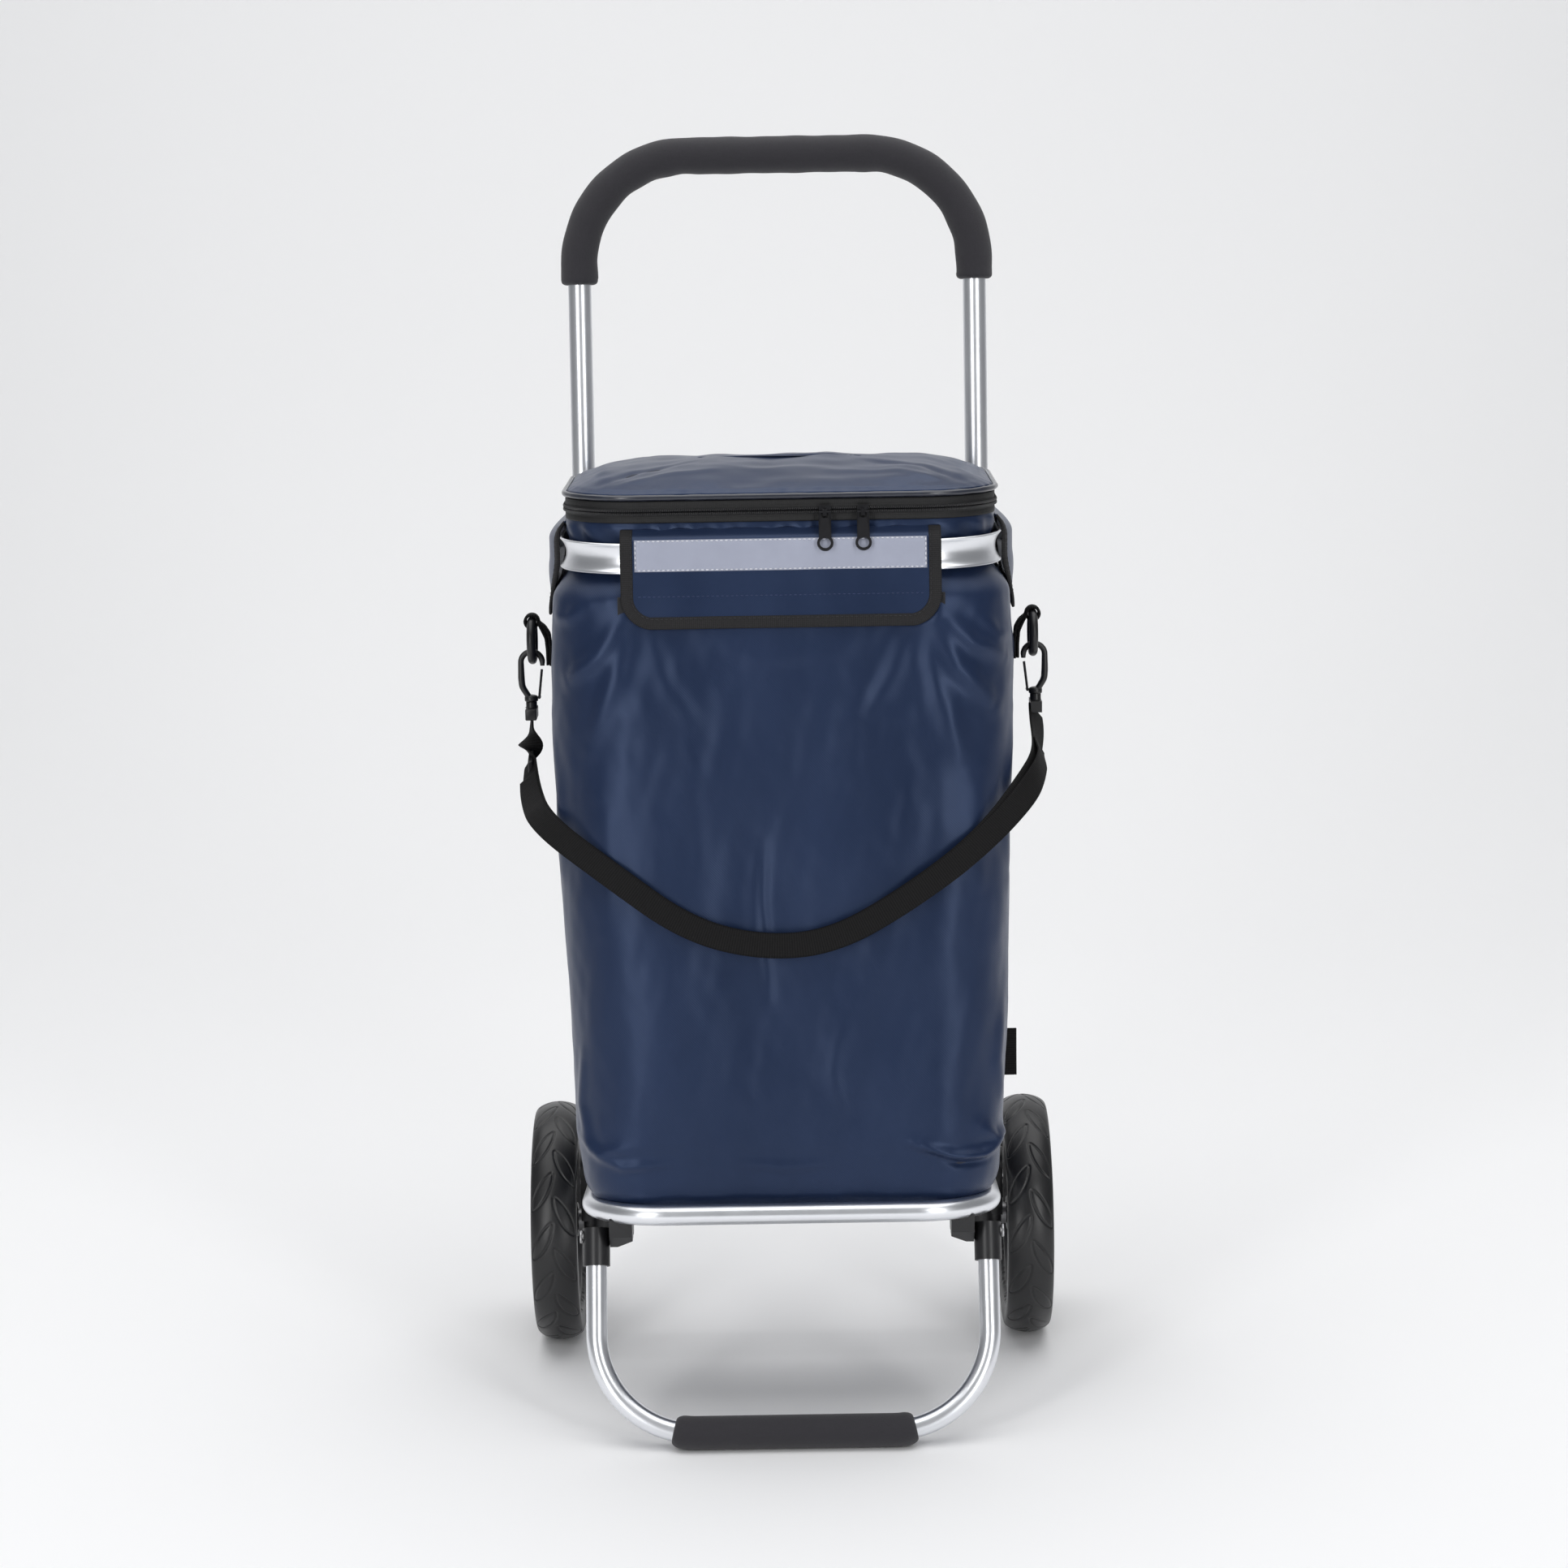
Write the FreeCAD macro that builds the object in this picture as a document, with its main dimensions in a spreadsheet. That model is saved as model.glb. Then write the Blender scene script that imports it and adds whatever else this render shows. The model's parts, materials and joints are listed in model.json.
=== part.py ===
import FreeCAD, Part
import math
import os
import Sketcher

# A two-wheeled folding shopping trolley: an aluminium post frame with a foam grip, a folding platform
# with a folding foot, two spoked wheels, and a zipped fabric bag that hangs from a channel hoop.
# Origin on the floor under the middle of the bounding box, +X to the right as seen from the front,
# +Y towards the back (the wheels), +Z up.  Millimetres throughout.

V = FreeCAD.Vector
Rot = FreeCAD.Rotation
X_AXIS, Y_AXIS, Z_AXIS = V(1, 0, 0), V(0, 1, 0), V(0, 0, 1)
doc = FreeCAD.newDocument("trolley")
SIDES = (("left", -1), ("right", 1))

# ---------------------------------------------------------------- driving dimensions
SIZES = {
    # wheels and axle
    "wheel_radius": 100, "wheel_width": 38, "wheel_centre_x": 196, "axle_y": 100, "axle_radius": 5,
    "axle_half": 213.5, "tyre_seat": 78, "rim_inner": 70, "hub_radius": 14, "hub_width": 30,
    "bush_radius": 7, "web_thickness": 6, "window_radius": 17, "window_place": 43,
    "window_count": 6, "running_gap": 0.08, "small_gap": 0.3,
    # handle
    "post_radius": 9.5, "post_wall": 1.5, "post_half": 162, "post_lean": 4.5, "post_foot_y": 84.2,
    "post_foot_z": 108, "handle_top": 985, "handle_bend": 88, "grip_radius": 15, "grip_end": 882,
    # axle brackets and hoop clamps
    "sleeve_wall": 4, "bracket_bottom": 94, "bracket_top": 150, "boss_radius": 16,
    "bracket_in": 149, "bracket_out": 175.5, "cheek_in": 166.2, "pin_radius": 3,
    # bag hoop, an outward-facing channel
    "hoop_z": 685.5, "hoop_half": 166.5, "hoop_front": 120.5, "hoop_rear": 110, "hoop_bend": 62,
    "channel_height": 21.5, "channel_curve": 15, "channel_wall": 1.6, "channel_lip": 4.5,
    # platform
    "platform_radius": 8, "platform_wall": 1.4, "platform_half": 157, "platform_front_y": -160,
    "platform_front_z": 180, "platform_bend": 60, "pivot_y": 62, "pivot_z": 157, "tube_end": 6,
    # foot
    "foot_radius": 8.2, "foot_wall": 1.4, "foot_half": 153, "foot_bend": 77, "foot_pivot_y": -128,
    "foot_pivot_z": 154, "foot_bar_y": -186.6, "pad_radius": 13, "pad_flat": 0.4, "pad_half": 93.5,
    "socket_radius": 10.6, "socket_above": 6.5, "socket_below": 23, "leg_start": 9,
    # bag and lid
    "bag_wall": 3, "rim_half": 165, "rim_front": 113.5, "rim_rear": 113, "rim_bend": 58,
    "zip_z": 720, "tape_height": 8, "tape_wall": 1.2, "teeth_height": 2, "teeth_depth": 1.8,
    "chain_gap": 0.8, "hinge_z": 731, "lid_crown": 752, "lid_wall": 2.5, "piping_radius": 1.8,
    # flaps
    "flap_half": 121, "flap_wall": 1.5, "flap_top": 703, "flap_hinge_z": 674, "flap_bottom": 633,
    "flap_corner": 24, "strip_half": 111, "side_flap_middle": 10, "side_flap_half": 62,
    # strap fittings
    "ring_x": 199, "ring_z": 608, "ring_radius": 15.5, "ring_rod": 3.6, "tab_width": 10,
    "hook_rod": 2.5, "strap_radius": 4.5,
    # zip sliders
    "slider_left_x": 34, "slider_right_x": 63, "slider_width": 9, "pull_length": 31,
    "pull_width": 9.5,
}
sheet = doc.addObject("Spreadsheet::Sheet", "Sizes")
for row, (alias, number) in enumerate(SIZES.items(), start=1):
    sheet.set(f"A{row}", alias)
    sheet.set(f"B{row}", str(number))
    sheet.setAlias(f"B{row}", alias)
doc.recompute()


def size(alias):
    """A driving dimension read back from the sheet."""
    return float(getattr(sheet, alias))


parts = []  # every finished sub-part


def keep(obj, label):
    """Register an object as a finished sub-part."""
    obj.Label = label
    parts.append(obj)
    return obj


def bind(obj, **to):
    """Bind properties to expressions of sheet cells; at_x, at_y and at_z place the object."""
    for name, expression in to.items():
        path = f"Placement.Base.{name[-1]}" if name.startswith("at_") else name
        obj.setExpression(path, str(expression))
    return obj


def shown(label, shape, placement=None):
    """A Part::Feature for a shape that neither a sketch nor a primitive makes."""
    obj = doc.addObject("Part::Feature", label)
    obj.Shape = shape
    if placement is not None:
        obj.Placement = placement
    return obj


TURNS = {"x": Rot(Y_AXIS, 90), "y": Rot(X_AXIS, -90), "z": Rot(Z_AXIS, 0)}


def rod(name, axis, radius, length, x=0, y=0, z=0, turn=None):
    """A cylinder that starts at x, y, z and runs along an axis; every number is an expression."""
    obj = doc.addObject("Part::Cylinder", name)
    obj.Placement.Rotation = turn or TURNS[axis]
    return bind(obj, Radius=radius, Height=length, at_x=x, at_y=y, at_z=z)


def block(name, x, y, z, dx, dy, dz):
    """A box from its lowest corner and its sizes, all expressions."""
    obj = doc.addObject("Part::Box", name)
    return bind(obj, Length=dx, Width=dy, Height=dz, at_x=x, at_y=y, at_z=z)


def fused(name, *pieces):
    obj = doc.addObject("Part::MultiFuse", name)
    obj.Shapes = list(pieces)
    obj.Refine = True
    return obj


def cut(name, base, tool):
    obj = doc.addObject("Part::Cut", name)
    obj.Base, obj.Tool = base, tool
    return obj


def group(name, *pieces):
    """Identical separate solids that share one node."""
    obj = doc.addObject("Part::Compound", name)
    obj.Links = list(pieces)
    return obj


# ---------------------------------------------------------------- bent tubes and bands
def u_wire(half, depth, bend):
    """A U in the XY plane: up from (-half, 0), across at y = depth, and down to (half, 0)."""
    c = bend * math.sqrt(0.5)
    arcs = [
        Part.Arc(V(-half, depth - bend, 0), V(-half + bend - c, depth - bend + c, 0),
                 V(-half + bend, depth, 0)),
        Part.Arc(V(half - bend, depth, 0), V(half - bend + c, depth - bend + c, 0),
                 V(half, depth - bend, 0)),
    ]
    lines = [
        Part.LineSegment(V(-half, 0, 0), V(-half, depth - bend, 0)),
        Part.LineSegment(V(-half + bend, depth, 0), V(half - bend, depth, 0)),
        Part.LineSegment(V(half, depth - bend, 0), V(half, 0, 0)),
    ]
    return Part.Wire([e.toShape() for e in (lines[0], arcs[0], lines[1], arcs[1], lines[2])])


def swept(wire, profile):
    """A closed profile swept along a wire with sharp ends."""
    return Part.Wire(wire).makePipeShell([profile], True, True)


def round_profile(at, direction, radius):
    return Part.Wire(Part.Circle(at, direction, radius).toShape())


def u_tube(half, depth, bend, radius, wall=0):
    """A round tube along a U, hollow when it has a wall."""
    wire, at = u_wire(half, depth, bend), V(-half, 0, 0)
    outer = swept(wire, round_profile(at, Y_AXIS, radius))
    if not wall:
        return outer
    return outer.cut(swept(wire, round_profile(at, Y_AXIS, radius - wall)))


def u_band(half, depth, bend, section):
    """A band along a U; section is its outline as (out, up) pairs, outwards from the wire."""
    corners = [V(-half - out, 0, up) for out, up in section]
    return swept(u_wire(half, depth, bend), Part.makePolygon(corners + corners[:1]))


def lean_placement(along):
    """The handle's plane, a distance along the posts from their lower ends."""
    lean = math.radians(size("post_lean"))
    base = V(0, size("post_foot_y") + along * math.sin(lean),
             size("post_foot_z") + along * math.cos(lean))
    return FreeCAD.Placement(base, Rot(X_AXIS, 90 - size("post_lean")))


cos_lean = math.cos(math.radians(size("post_lean")))
handle_run = (size("handle_top") - size("post_foot_z")) / cos_lean
grip_start = (size("grip_end") - size("post_foot_z")) / cos_lean

keep(shown("handle_tube", u_tube(size("post_half"), handle_run, size("handle_bend"),
                                 size("post_radius"), size("post_wall")),
           lean_placement(0)), "handle_tube")
keep(shown("handle_grip", u_tube(size("post_half"), handle_run - grip_start, size("handle_bend"),
                                 size("grip_radius"), size("grip_radius") - size("post_radius") - 0.02),
           lean_placement(grip_start)), "handle_grip")

# ---------------------------------------------------------------- axle brackets and axle
LEANING = Rot(X_AXIS, -size("post_lean"))
FOOT_Y_AT = "(Sizes.post_foot_y + ({z} - Sizes.post_foot_z) * tan(Sizes.post_lean))"


def axle_bracket(side, sign):
    """A moulded bracket: a sleeve for the post, a boss for the axle and a cheek for the platform."""
    low = "Sizes.bracket_in" if sign > 0 else "-Sizes.bracket_out"
    cheek = "Sizes.cheek_in" if sign > 0 else "-Sizes.bracket_out"
    wide = "Sizes.bracket_out - Sizes.bracket_in"
    sleeve = rod(f"sleeve_{side}", "z", "Sizes.post_radius + Sizes.sleeve_wall",
                 "(Sizes.bracket_top - Sizes.bracket_bottom) / cos(Sizes.post_lean)",
                 f"{sign} * Sizes.post_half", FOOT_Y_AT.format(z="Sizes.bracket_bottom"),
                 "Sizes.bracket_bottom", turn=LEANING)
    boss = rod(f"boss_{side}", "x", "Sizes.boss_radius", wide, low, "Sizes.axle_y",
               "Sizes.wheel_radius")
    ear = rod(f"ear_{side}", "x", 11, "Sizes.bracket_out - Sizes.cheek_in",
              cheek, "Sizes.pivot_y", "Sizes.pivot_z")
    web = block(f"web_{side}", cheek, "Sizes.pivot_y - 10", "Sizes.pivot_z - 44.5",
                "Sizes.bracket_out - Sizes.cheek_in - 0.4", 33, 44)
    ledge = block(f"ledge_{side}", low, "Sizes.pivot_y - 9", "Sizes.pivot_z - 30", wide, 14, 12)
    solid = fused(f"bracket_solid_{side}", sleeve, boss, ear, web, ledge)
    post_hole = rod(f"post_hole_{side}", "z", "Sizes.post_radius + 0.05", 80,
                    f"{sign} * Sizes.post_half", "Sizes.post_foot_y", "Sizes.post_foot_z",
                    turn=LEANING)
    axle_hole = rod(f"axle_hole_{side}", "x", "Sizes.axle_radius + 0.05", 60,
                    f"{sign} * Sizes.post_half - 30", "Sizes.axle_y", "Sizes.wheel_radius")
    pin_hole = rod(f"pin_hole_{side}", "x", "Sizes.pin_radius + 0.05", 60,
                   f"{sign} * Sizes.post_half - 30", "Sizes.pivot_y", "Sizes.pivot_z")
    holes = fused(f"bracket_holes_{side}", post_hole, axle_hole, pin_hole)
    return keep(cut(f"axle_bracket_{side}", solid, holes), f"axle_bracket_{side}")


for side, sign in SIDES:
    axle_bracket(side, sign)

keep(rod("axle", "x", "Sizes.axle_radius", "2 * Sizes.axle_half", "-Sizes.axle_half",
         "Sizes.axle_y", "Sizes.wheel_radius"), "axle")


def cross_bolt(name, sign, y, z, length=31, shank=2.5, head=4.5, head_height=1.8):
    """A bolt along X through the middle of a post, with a head at each end."""
    x = f"{sign} * Sizes.post_half"
    return fused(
        name,
        rod(f"{name}_shank", "x", shank, length, f"{x} - {length / 2}", y, z),
        rod(f"{name}_head", "x", head, head_height, f"{x} + {length / 2} - {head_height}", y, z),
        rod(f"{name}_nut", "x", head, head_height, f"{x} - {length / 2}", y, z),
    )


BOLT_Z = 138
keep(group("bracket_bolts", *[cross_bolt(f"bracket_bolt_{side}", sign, FOOT_Y_AT.format(z=BOLT_Z),
                                         BOLT_Z) for side, sign in SIDES]), "bracket_bolts")


def washer(name, x, inner, outer, thick):
    ring = rod(f"{name}_disc", "x", outer, thick, x, "Sizes.axle_y", "Sizes.wheel_radius")
    hole = rod(f"{name}_hole", "x", inner, thick, x, "Sizes.axle_y", "Sizes.wheel_radius")
    return cut(name, ring, hole)


HUB_IN = "(Sizes.wheel_centre_x - Sizes.hub_width / 2)"
spacer_length = f"({HUB_IN} - Sizes.bracket_out - 0.4)"
keep(group("wheel_spacers",
           washer("spacer_left", f"-{HUB_IN} + 0.2", "Sizes.axle_radius + 0.05", 9, spacer_length),
           washer("spacer_right", "Sizes.bracket_out + 0.2", "Sizes.axle_radius + 0.05", 9,
                  spacer_length)), "wheel_spacers")


def axle_cap(side, sign):
    """A push-on cap with a low dome that holds the wheel on the axle."""
    low = "Sizes.wheel_centre_x + Sizes.hub_width / 2 + 0.3"
    x = low if sign > 0 else f"-({low}) - 3.4"
    shell = rod(f"cap_shell_{side}", "x", 10, 3.4, x, "Sizes.axle_y", "Sizes.wheel_radius")
    edged = doc.addObject("Part::Fillet", f"cap_round_{side}")
    doc.recompute()
    edged.Base = shell
    outer = max if sign > 0 else min
    rims = [(e.CenterOfMass.x, i) for i, e in enumerate(shell.Shape.Edges, 1) if e.Closed]
    edged.Edges = [(outer(rims)[1], 1.5, 1.5)]
    bore_x = "-Sizes.axle_half - 0.1" if sign < 0 else "Sizes.axle_half + 0.1 - 20"
    bore = rod(f"cap_bore_{side}", "x", "Sizes.axle_radius + 0.02", 20, bore_x, "Sizes.axle_y",
               "Sizes.wheel_radius")
    return cut(f"axle_cap_{side}", edged, bore)


keep(group("axle_caps", *[axle_cap(side, sign) for side, sign in SIDES]), "axle_caps")


# ---------------------------------------------------------------- wheels
def turned(name, outline, sign):
    """A body of revolution about the axle; outline is (x, radius) pairs from the wheel's middle."""
    body = doc.addObject("PartDesign::Body", name)
    sk = body.newObject("Sketcher::SketchObject", f"{name}_outline")
    plane = next(f for f in body.Origin.OriginFeatures if f.Role == "XY_Plane")
    sk.AttachmentSupport, sk.MapMode = [(plane, "")], "FlatFace"
    points = [V(x, r, 0) for x, r in outline]
    for a, b in zip(points, points[1:] + points[:1]):
        sk.addGeometry(Part.LineSegment(a, b))
    count = len(points)
    for i in range(count):
        sk.addConstraint(Sketcher.Constraint("Coincident", i, 2, (i + 1) % count, 1))
    spin = body.newObject("PartDesign::Revolution", f"{name}_turned")
    spin.Profile, spin.ReferenceAxis, spin.Angle = sk, (sk, ["H_Axis"]), 360
    bind(body, at_x=f"{sign} * Sizes.wheel_centre_x", at_y="Sizes.axle_y", at_z="Sizes.wheel_radius")
    return body


def tyre_outline():
    """A tread with rounded shoulders that sits on the rim."""
    half, top, seat = size("wheel_width") / 2, size("wheel_radius"), size("tyre_seat")
    crown = [(half * math.sin(a), top - 9 * (1 - math.cos(a)) ** 0.9)
             for a in [math.radians(d) for d in range(-90, 91, 15)]]
    return [(-15, seat), (-half + 1.5, seat + 3)] + crown + [(half - 1.5, seat + 3), (15, seat)]


def rim_outline():
    """Hub, web and outer ring as one turned section."""
    hub, web = size("hub_width") / 2, size("web_thickness") / 2
    inner, seat, core = size("rim_inner"), size("tyre_seat"), size("hub_radius")
    bore, out = size("bush_radius"), seat - 0.02
    return [(-hub, bore), (hub, bore), (hub, core), (web, core + 4), (web, inner - 3), (14, inner),
            (14, out), (-14, out), (-14, inner), (-web, inner - 3), (-web, core + 4), (-hub, core)]


def add_windows(body):
    """Round windows through the web leave the spokes between them."""
    doc.recompute()
    sk = body.newObject("Sketcher::SketchObject", f"{body.Name}_window")
    plane = next(f for f in body.Origin.OriginFeatures if f.Role == "YZ_Plane")
    sk.AttachmentSupport, sk.MapMode = [(plane, "")], "FlatFace"
    hole = sk.addGeometry(Part.Circle(V(size("window_place"), 0, 0), Z_AXIS, size("window_radius")))
    sk.addConstraint(Sketcher.Constraint("PointOnObject", hole, 3, -1))
    place = sk.addConstraint(Sketcher.Constraint("DistanceX", -1, 1, hole, 3, size("window_place")))
    wide = sk.addConstraint(Sketcher.Constraint("Radius", hole, size("window_radius")))
    sk.setExpression(f"Constraints[{place}]", "Sizes.window_place")
    sk.setExpression(f"Constraints[{wide}]", "Sizes.window_radius")
    pocket = body.newObject("PartDesign::Pocket", f"{body.Name}_pocket")
    pocket.Profile, pocket.Type, pocket.Midplane, pocket.Length = sk, 0, True, 40
    doc.recompute()
    whole = body.Shape.Volume
    pattern = body.newObject("PartDesign::PolarPattern", f"{body.Name}_windows")
    pattern.Originals = [pocket]
    pattern.Angle, pattern.Occurrences = 360, int(size("window_count"))
    x_line = next(f for f in body.Origin.OriginFeatures if f.Role == "X_Axis")
    pattern.Axis = (x_line, [""])
    body.Tip = pattern
    doc.recompute()
    if body.Shape.Volume >= whole:
        raise RuntimeError(f"{body.Name}: the windows cut nothing")


for side, sign in SIDES:
    keep(turned(f"tyre_{side}", tyre_outline(), sign), f"tyre_{side}")
    rim = turned(f"rim_{side}", rim_outline(), sign)
    add_windows(rim)
    keep(rim, f"rim_{side}")
    half_hub, gap = size("hub_width") / 2 - 0.3, size("running_gap")
    bush = [(-half_hub, size("axle_radius") + gap), (half_hub, size("axle_radius") + gap),
            (half_hub, size("bush_radius") - 0.02), (-half_hub, size("bush_radius") - 0.02)]
    keep(turned(f"hub_bush_{side}", bush, sign), f"hub_bush_{side}")

# ---------------------------------------------------------------- bag hoop and its clamps
TO_FRONT = Rot(Z_AXIS, 180)  # turns a U so that its cross bar is at the front


def front_placement(rear_y, z):
    return FreeCAD.Placement(V(0, rear_y, z), TO_FRONT)


def channel_wire():
    """The hoop's section: a strip curved inwards, open to the outside."""
    reach, curve, wall = size("channel_height") / 2, size("channel_curve"), size("channel_wall")
    lip = -size("hoop_half") - size("channel_lip")
    span = math.asin(reach / curve)
    middle = lip - curve * math.cos(span)

    def at(radius, angle):
        return V(middle + radius * math.cos(angle), 0, radius * math.sin(angle))

    inner, outer = curve, curve + wall
    near = Part.Arc(at(inner, -span), at(inner, 0), at(inner, span)).toShape()
    far = Part.Arc(at(outer, span), at(outer, 0), at(outer, -span)).toShape()
    joins = [Part.LineSegment(at(inner, span), at(outer, span)).toShape(),
             Part.LineSegment(at(outer, -span), at(inner, -span)).toShape()]
    return Part.Wire([near, joins[0], far, joins[1]])


hoop_depth = size("hoop_front") + size("hoop_rear")
hoop_path = u_wire(size("hoop_half"), hoop_depth, size("hoop_bend"))
keep(shown("bag_hoop", swept(hoop_path, channel_wire()),
           front_placement(size("hoop_rear"), size("hoop_z"))), "bag_hoop")


def hoop_clamp(side, sign):
    """A moulded clamp round a post, with a tongue that lies in the channel of the hoop."""
    bottom = "Sizes.hoop_z - 12"
    sleeve = rod(f"clamp_sleeve_{side}", "z", "Sizes.post_radius + Sizes.sleeve_wall", 24,
                 f"{sign} * Sizes.post_half", FOOT_Y_AT.format(z=bottom), bottom, turn=LEANING)
    tongue_in = "(Sizes.hoop_half + 2.8)"
    x = tongue_in if sign > 0 else "-Sizes.bracket_out"
    tongue = block(f"clamp_tongue_{side}", x, "Sizes.hoop_rear - 24", "Sizes.hoop_z - 7.5",
                   f"Sizes.bracket_out - {tongue_in}", 44, 15)
    solid = fused(f"clamp_solid_{side}", sleeve, tongue)
    hole = rod(f"clamp_hole_{side}", "z", "Sizes.post_radius + 0.05", 60,
               f"{sign} * Sizes.post_half", FOOT_Y_AT.format(z="(Sizes.hoop_z - 30)"),
               "Sizes.hoop_z - 30", turn=LEANING)
    return keep(cut(f"hoop_clamp_{side}", solid, hole), f"hoop_clamp_{side}")


for side, sign in SIDES:
    hoop_clamp(side, sign)


def clamp_rivet(side, sign):
    """A rivet along X through the tongue and the channel."""
    x = "Sizes.hoop_half - 3.5" if sign > 0 else "-Sizes.bracket_out - 1.3"
    shank = rod(f"rivet_shank_{side}", "x", 2, 13.8, x, "Sizes.hoop_rear - 12", "Sizes.hoop_z")
    head_x = "Sizes.bracket_out" if sign > 0 else "-Sizes.bracket_out - 1.3"
    head = rod(f"rivet_head_{side}", "x", 3.5, 1.3, head_x, "Sizes.hoop_rear - 12", "Sizes.hoop_z")
    return fused(f"clamp_rivet_{side}", shank, head)


keep(group("clamp_rivets", *[clamp_rivet(side, sign) for side, sign in SIDES]), "clamp_rivets")

# ---------------------------------------------------------------- platform
run_y = size("pivot_y") - size("platform_front_y")
rise = size("platform_front_z") - size("pivot_z")
platform_tilt = math.degrees(math.atan2(rise, run_y))
platform_run = math.hypot(run_y, rise)
along = V(0, math.cos(math.radians(platform_tilt)), -math.sin(math.radians(platform_tilt)))
platform_end = V(0, size("pivot_y"), size("pivot_z")) + along * size("tube_end")
platform_place = FreeCAD.Placement(platform_end, TO_FRONT * Rot(X_AXIS, platform_tilt))
platform_size = (size("platform_half"), platform_run + size("tube_end"), size("platform_bend"))
hoop_shape = u_tube(*platform_size, size("platform_radius"), size("platform_wall"))
hoop_shape.Placement = platform_place
pivot_hole = Part.makeCylinder(size("pin_radius") + 0.08, 400,
                               V(-200, size("pivot_y"), size("pivot_z")), X_AXIS)
keep(shown("platform_hoop", hoop_shape.cut(pivot_hole)), "platform_hoop")


def platform_pin(side, sign):
    """A rivet that the platform turns on, from inside the tube to the bracket's cheek."""
    x = "Sizes.platform_half - 9.5" if sign > 0 else "-Sizes.bracket_out - 0.6"
    shank = rod(f"pin_shank_{side}", "x", "Sizes.pin_radius",
                "Sizes.bracket_out - Sizes.platform_half + 10.1", x, "Sizes.pivot_y", "Sizes.pivot_z")
    head_x = "Sizes.platform_half - 10.3" if sign > 0 else "-Sizes.platform_half + 8.5"
    head = rod(f"pin_head_{side}", "x", 5, 1.8, head_x, "Sizes.pivot_y", "Sizes.pivot_z")
    return fused(f"platform_pin_{side}", shank, head)


keep(group("platform_pins", *[platform_pin(side, sign) for side, sign in SIDES]), "platform_pins")

# ---------------------------------------------------------------- foot
foot_drop = size("foot_pivot_z") - size("pad_radius")
foot_reach = size("foot_pivot_y") - size("foot_bar_y")
foot_angle = math.degrees(math.atan2(foot_reach, foot_drop))
leg_run = math.hypot(foot_reach, foot_drop)
down = V(0, -math.sin(math.radians(foot_angle)), -math.cos(math.radians(foot_angle)))
foot_pivot = V(0, size("foot_pivot_y"), size("foot_pivot_z"))
foot_turn = Rot(Y_AXIS, down)  # takes the U's own plane to the legs' slope
leg_top = foot_pivot + down * size("leg_start")
foot_place = FreeCAD.Placement(leg_top, foot_turn)
foot_size = (size("foot_half"), leg_run - size("leg_start"), size("foot_bend"))
keep(shown("foot_frame", u_tube(*foot_size, size("foot_radius"), size("foot_wall")), foot_place),
     "foot_frame")
pad_reach = size("pad_radius") + size("pad_flat")
pad = Part.makeCylinder(pad_reach, 2 * size("pad_half"),
                        V(-size("pad_half"), size("foot_bar_y"), size("pad_radius")), X_AXIS)
pad = pad.makeChamfer(3, [e for e in pad.Edges if e.Closed])
floor_block = Part.makeBox(400, 60, 30, V(-200, size("foot_bar_y") - 30, -30))
inside = u_tube(*foot_size, size("foot_radius") + 0.03)
inside.Placement = foot_place
keep(shown("foot_pad", pad.cut(inside).cut(floor_block)), "foot_pad")


def foot_socket(side, sign):
    """The black fitting on a leg's upper end, which turns on the foot pin."""
    middle = foot_pivot + V(sign * size("foot_half"), 0, 0)
    start = middle - down * size("socket_above")
    solid = Part.makeCylinder(size("socket_radius"), size("socket_above") + size("socket_below"),
                              start, down)
    leg = Part.makeCylinder(size("foot_radius") + 0.03, 60, middle + down * size("leg_start"), down)
    pin = Part.makeCylinder(size("pin_radius") + 0.08, 60, middle - X_AXIS * 30, X_AXIS)
    return keep(shown(f"foot_socket_{side}", solid.cut(leg).cut(pin)), f"foot_socket_{side}")


def foot_bracket(side, sign):
    """The wedge-shaped ear under the hoop's corner that carries the foot pin."""
    inner, outer = size("foot_half") - 29, size("foot_half") - size("socket_radius") - 0.5
    y, z = size("foot_pivot_y"), size("foot_pivot_z")
    outline = [V(0, y - 9, z - 6), V(0, y + 9, z - 6), V(0, y + 11, z + 10), V(0, y - 14, z + 20),
               V(0, y - 24, z + 20), V(0, y - 20, z + 5)]
    ear = Part.Face(Part.makePolygon(outline + outline[:1])).extrude(V(outer - inner, 0, 0))
    ear.translate(V(inner if sign > 0 else -outer, 0, 0))
    hoop = u_tube(*platform_size, size("platform_radius") + 0.05)
    hoop.Placement = platform_place
    wedge = Part.makeBox(30, 60, 14, V(inner - 30 + 12 if sign > 0 else -inner - 12, y - 30, z - 20))
    wedge.rotate(V(sign * (inner + 12), y, z - 6), Y_AXIS, sign * 28)
    pin = Part.makeCylinder(size("pin_radius") + 0.02, 120, V(sign * 150 - 60, y, z), X_AXIS)
    return keep(shown(f"foot_bracket_{side}", ear.cut(hoop).cut(wedge).cut(pin)),
                f"foot_bracket_{side}")


def foot_pin(side, sign):
    """A headed pin from the ear out through the socket."""
    x, y, z = sign * (size("foot_half") - 28), size("foot_pivot_y"), size("foot_pivot_z")
    far = sign * (size("foot_half") + size("socket_radius") + 2.2)
    low = min(x, far)
    shank = Part.makeCylinder(size("pin_radius"), abs(far - x), V(low, y, z), X_AXIS)
    head = Part.makeCylinder(5, 1.6, V(far - (1.6 if sign > 0 else 0), y, z), X_AXIS)
    return shank.fuse(head)


for side, sign in SIDES:
    foot_socket(side, sign)
    foot_bracket(side, sign)
keep(shown("foot_pins", Part.makeCompound([foot_pin(side, sign) for side, sign in SIDES])),
     "foot_pins")


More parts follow.
